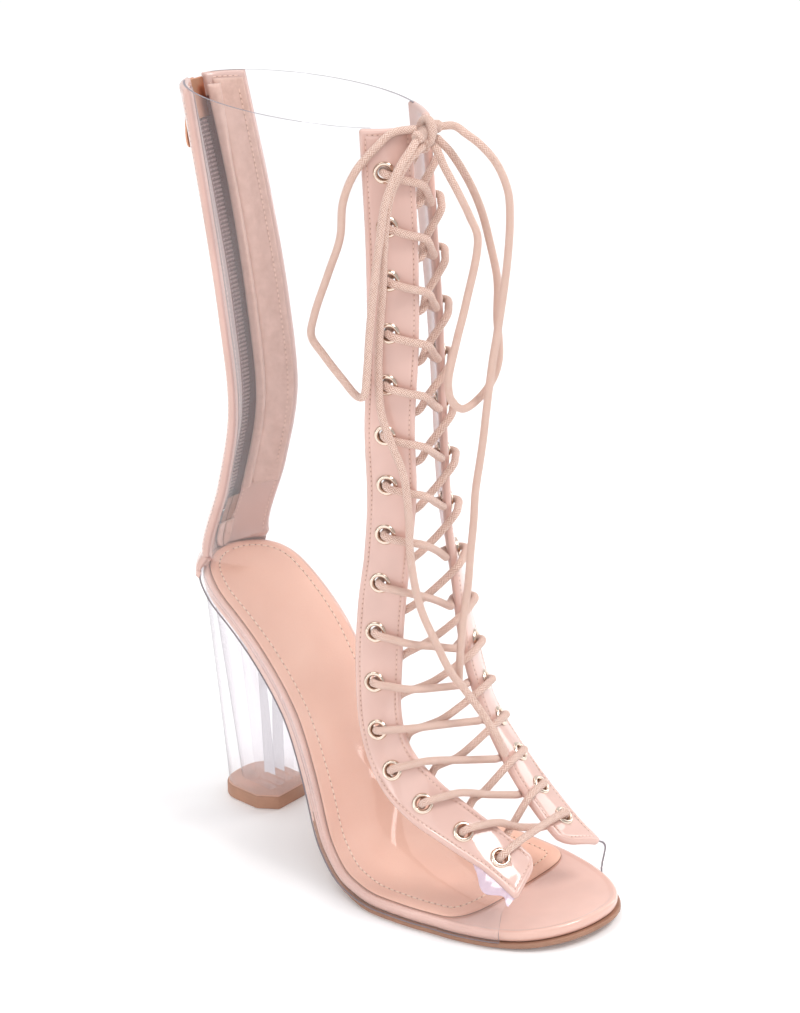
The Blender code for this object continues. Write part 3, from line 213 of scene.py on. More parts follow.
# (side, distance from the eyelet towards the throat, height)
BAR = (
    (-1, 0, 4.6), (-1, 1.6, 6.6), (-1, 6.5, 6.0), (-1, 11.5, 5.6),
    (1, 11.5, 5.6), (1, 6.5, 6.0), (1, 1.6, 6.6), (1, 0, 4.6),
)
KNOT_TAILS = {
    -1: ((2.2, -101.5, 324.0), (2.6, -105.0, 325.0), (0.6, -106.2, 326.3)),
    1: ((13.0, -101.0, 325.5), (8.5, -103.5, 328.5), (4.6, -103.9, 331.0)),
}
KNOT_CENTRE = (0.0, -107.5, 333.0)
BOW_ROUTES = {
    "lace_loop_lateral": (
        (-4.9, -105.8, 335.2), (-12, -100, 334), (-18, -97, 329), (-24, -91, 319), (-28, -88, 307),
        (-30, -88, 293), (-32, -83, 277), (-34, -77, 259), (-34, -75, 249), (-34, -81, 243),
        (-34, -91, 235), (-34, -100, 229), (-34, -103, 230), (-33, -104, 240), (-31, -104, 257),
        (-30, -106, 278), (-28, -107, 294), (-25, -108, 311), (-18, -109, 323), (-10, -109, 329.5),
        (-5.6, -107.8, 331.8),
    ),
    "lace_end_lateral": (
        (-4, -109.2, 328.6), (-10, -108, 325), (-19, -106, 313), (-23, -106, 300), (-24, -106, 291),
        (-24, -105, 274), (-25, -104, 255), (-26, -104, 239), (-27, -106, 222), (-26, -111, 208),
        (-24, -115, 196), (-23, -117, 177), (-22.5, -117, 162), (-22.5, -119.5, 147), (-21, -122, 135),
        (-19, -127, 123), (-14, -132, 107), (-10, -136, 99), (-7, -144, 88), (-4, -150, 77),
        (-3, -152, 71),
    ),
    "lace_loop_medial": (
        (4.4, -109.5, 330), (10, -112, 323), (15, -117, 311), (18, -121, 299), (20, -124, 285),
        (21, -127, 270), (21, -127, 254), (20, -129, 237), (17, -128, 228), (10, -126, 221),
        (0, -126, 220), (-4, -124, 224), (-5, -123, 232), (0, -123, 248), (5, -124, 264),
        (11, -125, 290), (10, -122, 298), (6, -119, 309), (3, -114, 320), (2, -112.5, 324.5),
        (1.5, -110.6, 327.2),
    ),
    "lace_end_medial": (
        (5.4, -108, 334), (10, -113.5, 334.5), (11, -119, 332), (13, -125, 328), (17, -130, 320),
        (19, -134, 309), (19, -135, 297), (18, -135, 284), (17, -134, 270), (15, -133, 255), (12, -132, 238),
        (9, -132, 222), (7, -131, 203), (5, -129, 182), (4, -129, 170), (2, -129, 156),
        (-1, -130, 141), (-5, -131, 129), (-8, -132, 117), (-8, -131, 101),
    ),
}


# ---------------------------------------------------------------- paths and curves


def unit(vectors):
    """The same directions with a length of one."""
    return vectors / np.linalg.norm(vectors, axis=-1, keepdims=True)


def run_along(points):
    """Distance from a path's start to each of its points."""
    return np.r_[0, np.cumsum(np.linalg.norm(np.diff(points, axis=0), axis=1))]


def read_path(points, run, places):
    """The path's points at distances along it."""
    return np.stack([np.interp(places, run, points[:, axis]) for axis in range(points.shape[1])], axis=-1)


def cubic(t, width, low, high, low_slope, high_slope):
    """Between two values that are a width apart, with a slope at each."""
    first = (2 * t**3 - 3 * t**2 + 1) * low + (t**3 - 2 * t**2 + t) * width * low_slope
    second = (3 * t**2 - 2 * t**3) * high + (t**3 - t**2) * width * high_slope
    return first + second


def monotone_slopes(xs, ys):
    """Slopes at the table's rows that never overshoot, so level stretches stay level."""
    steps = np.diff(ys) / np.diff(xs)
    slopes = np.zeros(len(xs))
    for i in range(1, len(xs) - 1):
        if steps[i - 1] * steps[i] > 0:
            slopes[i] = 2 * steps[i - 1] * steps[i] / (steps[i - 1] + steps[i])
    slopes[0], slopes[-1] = steps[0], steps[-1]
    return slopes


def table_curve(table, column):
    xs, ys = (np.array([row[k] for row in table], float) for k in (0, column))
    slopes = monotone_slopes(xs, ys)

    def value(x):
        i = int(np.clip(np.searchsorted(xs, x) - 1, 0, len(xs) - 2))
        width = xs[i + 1] - xs[i]
        return float(cubic((x - xs[i]) / width, width, ys[i], ys[i + 1], slopes[i], slopes[i + 1]))

    return value


top_height = table_curve(PROFILE, 1)
lateral_edge = table_curve(OUTLINE, 1)
medial_edge = table_curve(OUTLINE, 2)


# ---------------------------------------------------------------- sole


def round_end(depth, power):
    """1 where a round end starts, falling to 0 at its tip."""
    return (1.0 - depth**power) ** (1.0 / power)


def edge_x(y, side, toe_end=TOE_END, toe_round=TOE_ROUND, toe_power=2.1):
    """The footbed's edge at y, on side -1 (lateral) or +1 (medial)."""
    edge = lateral_edge(y) if side < 0 else medial_edge(y)
    toe = float(np.clip((toe_end + toe_round - y) / toe_round, 0.0, 1.0))
    heel = float(np.clip((y - HEEL_END + HEEL_ROUND) / HEEL_ROUND, 0.0, 1.0))
    centre = TOE_TIP_X * toe + HEEL_TIP_X * heel
    return centre + (edge - centre) * round_end(toe, toe_power) * round_end(heel, HEEL_POWER)


def sole_normal(y):
    """Upward unit normal (y, z) of the footbed's top at y."""
    step = 0.5
    rise = top_height(y + step) - top_height(y - step)
    length = math.hypot(rise, 2 * step)
    return -rise / length, 2 * step / length


def sole_point(x, y, height):
    normal_y, normal_z = sole_normal(y)
    return np.array((x, y + height * normal_y, top_height(y) + height * normal_z))


def sole_stations(start, end, toe_round, fine=True):
    """Places along the sole from heel to toe, closer together in the round ends."""
    angles = np.linspace(0, math.pi / 2, FINE_ROUND if fine else COARSE_ROUND)
    toe = [end + toe_round * (1 - math.sin(angle)) for angle in angles]
    heel = [start]
    if start == HEEL_END:
        heel = [HEEL_END - HEEL_ROUND * (1 - math.cos(angle)) for angle in angles]
    straight = np.arange(heel[-1] - 2.0, toe[0] + 1.0, -2.0)
    if not fine:
        straight = [y for y in SOLE_STATIONS if toe[0] + 2 < y < heel[-1] - 2]
    return [*heel, *straight, *toe]


def inset_edge(stations, side, inset, **toe):
    """The footbed's edge at the stations, moved inward in the plane of the sole."""
    points = np.array([(edge_x(y, side, **toe), y) for y in stations])
    along = unit(np.gradient(points, axis=0))
    inward = np.stack([along[:, 1], -along[:, 0]], axis=1) * side
    inward[0] = (0.0, -1.0) if stations[0] == HEEL_END else (-side, 0.0)
    inward[-1] = (0.0, 1.0)
    return points + inward * np.broadcast_to(inset, len(points))[:, None]


def outsole_margin(stations):
    """How far the outsole reaches past the footbed at each station."""
    return np.interp(stations, *zip(*OUTSOLE_MARGINS))


def sole_ring(stations, inset, height, **toe):
    """Edge points from the heel down the lateral side and back up the medial side."""
    lateral, medial = (inset_edge(stations, side, inset, **toe) for side in (-1, 1))
    last = 0 if stations[0] == HEEL_END else None
    return [sole_point(x, y, height) for x, y in [*lateral, *medial[-2:last:-1]]]


def even_points(points, count):
    """The same path with its points spread evenly along it."""
    points = np.asarray(points, float)
    run = run_along(points)
    return read_path(points, run, np.linspace(0, run[-1], count))


def lift_side(side, inset):
    """The top lift's outline from its back to its breast, with a chamfered front corner."""
    half = LIFT_HALF_WIDTH - inset
    back = LIFT_BACK - inset
    front = LIFT_FRONT + inset
    angles = np.linspace(0, math.pi / 2, 9)
    rounded = [(half * math.sin(a) ** 0.8, back - LIFT_ROUND * (1 - math.cos(a) ** 0.8)) for a in angles]
    corner = [(half, front + LIFT_CHAMFER), (half - LIFT_CHAMFER * 0.7, front)]
    return [(LIFT_X + side * x, y) for x, y in [*rounded, *corner]]


def seat_side(side):
    """The heel's outline under the seat, from its back to its breast."""
    stations = [y for y in sole_stations(HEEL_END, TOE_END, TOE_ROUND, fine=False) if y > BREAST_Y]
    edge = [*inset_edge(stations, side, HEEL_INSET), (edge_x(BREAST_Y, side) - side * HEEL_INSET, BREAST_Y)]
    return [sole_point(x, y, OUTSOLE_TOP) for x, y in edge]


def section_rows():
    """The sections as numbers, with their feet and widths on the sole worked out."""
    rows = []
    for _, ridge_y, ridge_z, foot_y, foot_z, ridge_x, foot_x, lateral, medial, *rest in SECTIONS:
        feet = (foot_x, foot_x)
        if foot_z is None:
            foot_z = top_height(foot_y)
            feet = (edge_x(foot_y, -1), edge_x(foot_y, 1))
            lateral, medial = lateral + feet[0], medial + feet[1]
        rows.append((ridge_x, ridge_y, ridge_z, foot_y, foot_z, *feet, lateral, medial, *rest))
    return np.array(rows, float)


ROWS = section_rows()
ROW_SLOPES = np.gradient(ROWS, axis=0)


def section(row):
    """Ridge point, foot points, widest x, widest share and throat half gaps at a row number."""
    i = int(np.clip(math.floor(row), 0, len(ROWS) - 2))
    t = row - i
    values = cubic(t, 1, ROWS[i], ROWS[i + 1], ROW_SLOPES[i], ROW_SLOPES[i + 1])
    foot_y, foot_z, foot_lateral, foot_medial, lateral, medial, widest, *gaps = values[3:]
    if row < HEEL_ROW:
        if row > HEEL_ROW - 1:
            start = ROWS[HEEL_ROW - 1, 3]
            first = math.asin(((start - HEEL_END + HEEL_ROUND) / HEEL_ROUND) ** (HEEL_POWER / 2))
            angle = first + (math.pi / 2 - first) * (row - HEEL_ROW + 1)
            foot_y = HEEL_END - HEEL_ROUND * (1 - math.sin(angle) ** (2 / HEEL_POWER))
        foot_z = top_height(foot_y)
        foot_lateral, foot_medial = edge_x(foot_y, -1), edge_x(foot_y, 1)
    else:
        foot_lateral = foot_medial = float(np.interp(row, range(len(ROWS)), ROWS[:, 5]))
    return {
        "ridge": values[:3],
        "foot": {-1: np.array((foot_lateral, foot_y, foot_z)), 1: np.array((foot_medial, foot_y, foot_z))},
        "width": {-1: lateral, 1: medial},
        "widest": widest,
        "gap": {-1: gaps[0], 1: gaps[1]},
    }


@functools.cache
def arch(row, side):
    """One side of a section from ridge to foot: its points, and how far along it each one is."""
    cut = section(row)
    ridge, foot, width, widest = cut["ridge"], cut["foot"][side], cut["width"][side], cut["widest"]
    angles = np.linspace(0, math.pi, ARCH_STEPS)
    upper = angles <= math.pi / 2
    share = np.where(upper, widest + (1 - widest) * np.cos(angles), widest * (1 + np.cos(angles)))
    bulge = np.sin(angles).clip(0)
    low_x = foot[0] + (width - foot[0]) * bulge
    turn = row - HEEL_ROW + 1
    if 0 < turn < 1:
        hugging = (abs(foot[0]) ** HUG_POWER + abs(width * bulge) ** HUG_POWER) ** (1 / HUG_POWER)
        low_x += (side * hugging - low_x) * turn * np.where(upper, 0, np.abs(np.cos(angles)))
    power = float(np.interp(row, *zip(*FRONT_POWERS[side])))
    x = np.where(upper, ridge[0] + (width - ridge[0]) * bulge**power, low_x)
    y, z = (foot[axis] + (ridge[axis] - foot[axis]) * share for axis in (1, 2))
    points = np.stack([x, y, z], axis=1)
    return points, run_along(points)


def reach(row, side):
    """Length of a section's side from ridge to foot."""
    return arch(row, side)[1][-1]


def on_last(row, side, along):
    return read_path(*arch(round(float(np.clip(row, 0, COLLAR_ROW)), 6), side), along)


def surface_normal(row, side, along):
    """Outward normal of the last, away from the middle of its section."""
    step, turn = 0.6, 0.15
    end = reach(row, side)
    down = on_last(row, side, min(along + step, end)) - on_last(row, side, max(along - step, 0))
    up = on_last(row + turn, side, along) - on_last(row - turn, side, along)
    normal = unit(np.cross(down, up))
    cut = section(row)
    middle = (cut["ridge"] + cut["foot"][side]) / 2
    middle[0] = (cut["width"][-1] + cut["width"][1]) / 2
    return normal if np.dot(normal, on_last(row, side, along) - middle) > 0 else -normal


def edge_normal(foot_y, side):
    """Outward normal of the sole's edge, in the plane of the sole."""
    step = 0.2
    low, high = max(foot_y - step, TOE_END), min(foot_y + step, HEEL_END)
    run = np.array((edge_x(high, side) - edge_x(low, side), high - low))
    if foot_y >= HEEL_END - 0.01:
        outward = np.array((0.0, 1.0))
    else:
        outward = unit(np.array((run[1], -run[0])) * side)
    normal_y, normal_z = sole_normal(foot_y)
    return np.array((outward[0], outward[1] * normal_z, -outward[1] * normal_y))


def on_shell(row, side, along, offset):
    """A point of the upper: along the section from its ridge, and offset outward from the last.

    Past the foot of a section that stands on the sole, it runs down beside the footbed.
    """
    end = reach(row, side)
    if along < end - 1e-6:
        return on_last(row, side, along) + surface_normal(row, side, along) * offset
    if row < HEEL_ROW + 1e-6:
        foot = section(min(row, HEEL_ROW - 1e-9))["foot"][side]
        down = -np.array((0.0, *sole_normal(foot[1])))
        return foot + edge_normal(foot[1], side) * (offset + SKIRT_CLEARANCE) + down * (along - end)
    return on_last(row, side, end) + unit(back_normal(row)) * offset


def back_normal(row):
    """The two sides' outward normals at the back line, added up."""
    return surface_normal(row, -1, reach(row, -1)) + surface_normal(row, 1, reach(row, 1))


def eyelet_rows(side):
    """Row numbers at each eyelet's lower edge, centre and upper edge, stepped along the eyelet line."""
    rows = np.linspace(0, COLLAR_ROW, 400)
    line = [on_shell(row, side, section(row)["gap"][side] + EYELET_INSET, OVERLAY_BASE) for row in rows]
    lengths = run_along(line)
    pitches = np.array([*TOE_PITCHES[side], *[SHAFT_PITCH] * (EYELET_COUNT - 1 - len(TOE_PITCHES[side]))])
    places = lengths[-1] - EYELET_TOP_DROP[side] - np.r_[0, np.cumsum(pitches[::-1])][::-1]
    edges = [[place + shift for shift in (-EYELET_CELL, 0, EYELET_CELL)] for place in places]
    tip = np.interp(places[0] - TIP_REACH, lengths, rows)
    return float(tip), [[float(np.interp(place, lengths, rows)) for place in edge] for edge in edges]


EYELET_PLACES = {side: eyelet_rows(side) for side in (-1, 1)}
TIPS = {side: places[0] for side, places in EYELET_PLACES.items()}
EYELETS = {side: places[1] for side, places in EYELET_PLACES.items()}


def sole_rows(count):
    """Row numbers whose feet share out the sole's edge from toe to heel, closer where it turns more."""
    rows = np.linspace(FRONT_ROW, HEEL_ROW, 300)
    feet = np.array([section(min(row, HEEL_ROW - 1e-6))["foot"][-1] for row in rows])
    runs = np.diff(feet, axis=0)
    steps = np.linalg.norm(runs, axis=1)
    turns = np.linalg.norm(np.diff(runs / steps[:, None], axis=0, append=[runs[-1] / steps[-1]]), axis=1)
    places = np.r_[0, np.cumsum(steps + TURN_WEIGHT * turns)]
    return [float(row) for row in np.interp(np.linspace(0, places[-1], count + 1), places, rows)]


def grid_lines():
    """Lines of the upper's grid from toe to collar: (row at the throat by side, row at the foot).

    Each eyelet's cell lies between two lines. Wide gaps between cells are split, and one line meets the
    heel's tip, where the sole ends and the back begins.
    """
    cells = {side: [edge for low, _, high in EYELETS[side] for edge in (low, high)] for side in (-1, 1)}
    ends = {side: [FRONT_ROW, TIPS[side], *cells[side], COLLAR_ROW] for side in (-1, 1)}
    middle = (np.array(ends[-1]) + np.array(ends[1])) / 2
    lines = []
    for i in range(len(middle) - 1):
        has_eyelet = i >= 2 and i % 2 == 0 and i // 2 <= EYELET_COUNT
        parts = 1 if has_eyelet else math.ceil((middle[i + 1] - middle[i]) / MOST_ROW_STEP)
        for part in range(parts):
            share = part / parts
            rows = {side: ends[side][i] + (ends[side][i + 1] - ends[side][i]) * share for side in (-1, 1)}
            foot = middle[i] + (middle[i + 1] - middle[i]) * share
            lines.append([rows, foot])
    lines.append([{-1: COLLAR_ROW, 1: COLLAR_ROW}, float(COLLAR_ROW)])
    heel_line = min(range(len(lines)), key=lambda i: abs(lines[i][1] - HEEL_ROW))
    for line, row in zip(lines, sole_rows(heel_line)):
        line[1] = row
    return lines, heel_line


LINES, HEEL_LINE = grid_lines()
ZIP_LINE = next(i for i, line in enumerate(LINES) if line[1] > ZIP_LOW_ROW)


def eyelet_axis(side, number):
    """Centre on the last, and the directions along the section, up the throat and outward."""
    row = EYELETS[side][number][1]
    along = section(row)["gap"][side] + EYELET_INSET
    outward = surface_normal(row, side, along)
    across = unit(on_last(row, side, along + 1) - on_last(row, side, along - 1))
    return on_last(row, side, along), across, np.cross(outward, across), outward


def back_frame(row):
    """Point on the last's back line, and the directions across, up and outward there."""
    outward = unit(back_normal(row) * (0.0, 1.0, 1.0))
    across = np.array((1.0, 0.0, 0.0))
    return on_last(row, 1, reach(row, 1)), across, np.cross(across, outward), outward


def back_row(below_collar):
    """Row number at a distance down the back line from the collar."""
    rows = np.linspace(COLLAR_ROW, HEEL_ROW, 200)
    return float(np.interp(below_collar, run_along([back_frame(row)[0] for row in rows]), rows))


def slider_frame():
    point, across, up, outward = back_frame(back_row(SLIDER_DROP))
    return point + outward * (OVERLAY_BASE + TAPE_THICKNESS + TEETH_HEIGHT + FIT_GAP), across, up, outward


def pull_axis():
    origin, _, up, outward = slider_frame()
    return origin + up * PULL_UP + outward * (SLIDER_PLATE + PULL_LIFT)


def smooth_path(points, spacing):
    """Points read evenly from a smooth curve through the route."""
    points = np.asarray(points, float)
    knots = np.r_[0, np.cumsum(np.sqrt(np.linalg.norm(np.diff(points, axis=0), axis=1)))]
    slopes = np.gradient(points, knots, axis=0)
    fine = []
    for i, width in enumerate(np.diff(knots)):
        for t in np.linspace(0, 1, 24, endpoint=False):
            fine.append(cubic(t, width, points[i], points[i + 1], slopes[i], slopes[i + 1]))
    fine = np.array([*fine, points[-1]])
    return even_points(fine, max(2, round(run_along(fine)[-1] / spacing) + 1))


def beside_eyelet(side, number, inward, height, up=0.0):
    """A point by an eyelet: towards the throat along the last, up the throat and out from the last."""
    row = EYELETS[side][number][1]
    gap = section(row)["gap"][side]
    along = gap + EYELET_INSET - inward
    past = max(gap - along, 0.0)
    _, _, upward, _ = eyelet_axis(side, number)
    edge = on_shell(row, side, max(along, gap), height)
    run = on_shell(row, side, gap, height) - on_shell(row, side, gap + 1, height)
    return edge + run * past + upward * side * up


def throat_middle(number, height):
    """Where the strands above this eyelet pair cross, in front of the throat."""
    axes = [eyelet_axis(side, at) for side in (-1, 1) for at in (number, number + 1)]
    edges = [centre - across * EYELET_INSET for centre, across, _, _ in axes]
    return np.mean(edges, axis=0) + unit(sum(normal for *_, normal in axes)) * height


# ---------------------------------------------------------------- camera and material helpers

# The camera stands where the photo's stood, turned a little so that the one boot is in the middle.
VIEW_AZIMUTH = math.radians(-50.0)
VIEW_ELEVATION = math.radians(24.0)
CAMERA_PLACE = (-887.4, -871.1, 692.5)
FOCAL_RATIO = 3.04
CAMERA_PAN = math.radians(1.17)


def to_metres(points):
    return (np.asarray(points, float).reshape(-1, 3) - CENTRE) * MM


def make_camera():
    """Looks down at the lateral side from in front."""
    level = math.cos(VIEW_ELEVATION)
    back = (math.sin(VIEW_AZIMUTH) * level, -math.cos(VIEW_AZIMUTH) * level, math.sin(VIEW_ELEVATION))
    right = unit(np.cross((0.0, 0.0, 1.0), back))
    data = bpy.data.cameras.new("camera")
    data.sensor_width = 36.0
    data.lens = data.sensor_width * FOCAL_RATIO
    data.clip_start, data.clip_end = 0.05, 40.0
    camera = show("camera", data)
    turn = Matrix((right, np.cross(back, right), back)).transposed() @ Matrix.Rotation(CAMERA_PAN, 3, "Y")
    camera.matrix_world = Matrix.Translation(to_metres([CAMERA_PLACE])[0]) @ turn.to_4x4()
    bpy.context.scene.camera = camera


def show(name, data):
    """A new object in the scene."""
    made = bpy.data.objects.new(name, data)
    bpy.context.scene.collection.objects.link(made)
    return made


def shader_of(material):
    return material.node_tree.nodes["Principled BSDF"]


def plain(name, colour, roughness, **sockets):
    """A Principled material; other sockets are named with underscores for spaces."""
    made = bpy.data.materials.new(name)
    made.use_nodes = True
    shader = shader_of(made)
    shader.inputs["Base Color"].default_value = (*colour, 1.0)
    shader.inputs["Roughness"].default_value = roughness
    for socket, value in sockets.items():
        shader.inputs[socket.replace("_", " ")].default_value = value
    return made


class Nodes:
    """Short calls for a material's node tree."""

    def __init__(self, material):
        self.tree = material.node_tree
        self.shader = shader_of(material)
        self.output = self.tree.nodes["Material Output"]

    def add(self, kind, **settings):
        node = self.tree.nodes.new(kind)
        for key, value in settings.items():
            setattr(node, key, value)
        return node

    def link(self, start, end):
        self.tree.links.new(start, end)

    def feed(self, node, values):
        for socket, value in values.items():
            if isinstance(value, bpy.types.NodeSocket):
                self.link(value, node.inputs[socket])
            else:
                node.inputs[socket].default_value = value
        return node

    def math(self, operation, first, second=0.0, third=0.0):
        node = self.add("ShaderNodeMath", operation=operation)
        return self.feed(node, {0: first, 1: second, 2: third}).outputs[0]

    def place(self):
        return self.add("ShaderNodeTexCoord").outputs["Object"]

    def noise(self, scale, detail=2.0, roughness=0.5):
        values = {"Vector": self.place(), "Scale": scale, "Detail": detail, "Roughness": roughness}
        return self.feed(self.add("ShaderNodeTexNoise"), values).outputs[0]

    def ramp(self, value, *stops):
        """Colours at places from 0 to 1."""
        node = self.add("ShaderNodeValToRGB")
        ramp = node.color_ramp
        while len(ramp.elements) < len(stops):
            ramp.elements.new(0.5)
        for element, (place, colour) in zip(ramp.elements, stops):
            element.position = place
            element.color = (*colour, 1.0)
        self.link(value, node.inputs[0])
        return node.outputs[0]

    def bump(self, height, strength, distance, under=None):
        node = self.add("ShaderNodeBump")
        values = {"Height": height, "Strength": strength, "Distance": distance}
        if under is not None:
            values["Normal"] = under
        return self.feed(node, values).outputs[0]

    def cloud(self, value, colour, deep, pale):
        """The base colour in soft patches, between a deeper and a paler one."""
        tints = [tuple(min(1.0, part * share) for part in colour) for share in (deep, pale)]
        self.colour(self.ramp(value, (0.3, tints[0]), (0.7, tints[1])))

    def mix(self, share, first, second):
        node = self.add("ShaderNodeMixShader")
        return self.feed(node, {0: share, 1: first, 2: second}).outputs[0]

    def colour(self, value):
        self.link(value, self.shader.inputs["Base Color"])

    def rough(self, value):
        self.link(value, self.shader.inputs["Roughness"])

    def normal(self, value):
        self.link(value, self.shader.inputs["Normal"])


# ---------------------------------------------------------------- meshes


def add_mesh(name, points, faces, materials, body="boot", which=None, uvs=None, smooth=True, sharp=None):
    """A piece on a body, from points in millimetres. which gives each face its material."""
    mesh = bpy.data.meshes.new(name)
    faces = [tuple(map(int, face)) for face in faces]
    mesh.from_pydata([tuple(point) for point in to_metres(points)], [], faces)
    for material in materials:
        mesh.materials.append(material)
    if which is not None:
        mesh.polygons.foreach_set("material_index", [int(i) for i in which])
    if uvs is not None:
        corners = np.empty(len(mesh.loops), dtype=int)
        mesh.loops.foreach_get("vertex_index", corners)
        spread = np.asarray(uvs, float)[corners]
        for face in mesh.polygons:
            around = spread[face.loop_start : face.loop_start + face.loop_total, 0]
            if around.max() - around.min() > 0.5:
                around[around < 0.5] += 1.0
        mesh.uv_layers.new(name="grain").data.foreach_set("uv", spread.ravel())
    if smooth:
        mesh.shade_smooth()
        if sharp is not None:
            mesh.set_sharp_from_angle(angle=math.radians(sharp))
    mesh.update()
    made = show(name, mesh)
    if body:
        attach(made, body)
    return made


def grid_faces(rows, columns, start=0, flip=False):
    """Quads between rows of points laid out one row after another."""
    r, c = np.meshgrid(np.arange(rows - 1), np.arange(columns - 1), indexing="ij")
    a = (start + r * columns + c).ravel()
    quads = np.stack([a, a + 1, a + columns + 1, a + columns], axis=1)
    return [tuple(face) for face in (quads[:, ::-1] if flip else quads)]


def grid_border(rows, columns):
    """The grid's outer points, once round."""
    numbers = np.arange(rows * columns).reshape(rows, columns)
    return [*numbers[0], *numbers[1:, -1], *numbers[-1, -2::-1], *numbers[-2:0:-1, 0]]


def without_spares(points, faces):
    """The points that faces use, and the faces numbered to match."""
    used = sorted({v for face in faces for v in face})
    index = {v: k for k, v in enumerate(used)}
    return points[used], [tuple(index[v] for v in face) for face in faces]


def loft(rings, start=0, flip=False):
    """Quads between rings of equal length."""
    size = len(rings[0])
    faces = []
    for low in range(start, start + (len(rings) - 1) * size, size):
        for i in range(size):
            j = (i + 1) % size
            face = (low + i, low + j, low + size + j, low + size + i)
            faces.append(face[::-1] if flip else face)
    return faces


def end_caps(rings, start=0, flip=False):
    """The first and last rings as faces."""
    size = len(rings[0])
    last = start + (len(rings) - 1) * size
    caps = [tuple(range(start + size - 1, start - 1, -1)), tuple(range(last, last + size))]
    return [cap[::-1] for cap in caps] if flip else caps


def closed_rings(rings, start=0):
    """Quads between rings, with the last joined to the first."""
    size = len(rings[0])
    last = start + (len(rings) - 1) * size
    return loft(rings, start) + [
        (last + i, last + (i + 1) % size, start + (i + 1) % size, start + i) for i in range(size)
    ]


def add_body(points, faces, rings):
    """Adds a solid through rings to lists of points and faces."""
    start = len(points)
    points += [point for ring in rings for point in ring]
    faces += loft(rings, start) + end_caps(rings, start)


def frames_along(path):
    """Tangents and a steady pair of cross directions along a path."""
    tangents = unit(np.gradient(path, axis=0))
    side = unit(np.cross(tangents[0], (0.3, 0.2, 1.0)))
    sides = []
    for tangent in tangents:
        side = unit(side - tangent * np.dot(side, tangent))
        sides.append(side)
    return tangents, np.array(sides), np.cross(tangents, sides)


def tube_points(path, radius, segments):
    """Rings round a path, drawn in at both ends, with the distance along it at each ring."""
    path = np.asarray(path, float)
    tangents, sides, ups = frames_along(path)
    angles = np.linspace(0, 2 * math.pi, segments, endpoint=False)
    rings = []
    for i in range(len(path)):
        turn = np.outer(np.cos(angles), sides[i]) + np.outer(np.sin(angles), ups[i])
        rings.append(path[i] + turn * radius)
    caps = {}
    for where, sign in ((0, -1), (-1, 1)):
        caps[where] = []
        for share in (0.55, 0.9):
            ring = path[where] + (rings[where] - path[where]) * math.sqrt(1 - share**2)
            caps[where].append(ring + tangents[where] * sign * radius * share * 0.6)
    run = run_along(path)
    return [*caps[0][::-1], *rings, *caps[-1]], np.r_[-1, -0.5, run, run[-1] + 0.5, run[-1] + 1]


def tube_mesh(name, path, radius, segments, material):
    """A round lace as a mesh, its grain laid out in turns round it and centimetres along it."""
    rings, run = tube_points(path, radius, segments)
    points, faces = [], []
    add_body(points, faces, rings)
    number = np.arange(len(points))
    uvs = np.stack([number % segments / segments, run[number // segments] / 10], axis=1)
    return add_mesh(name, points, faces, [material], uvs=uvs)


# ---------------------------------------------------------------- the last as one fine surface

FINE_ROWS = 601
FINE_SHARES = 161
TURN_STEPS = 8
BACK_BLEND = 8
FOOT_BLEND = 3.0


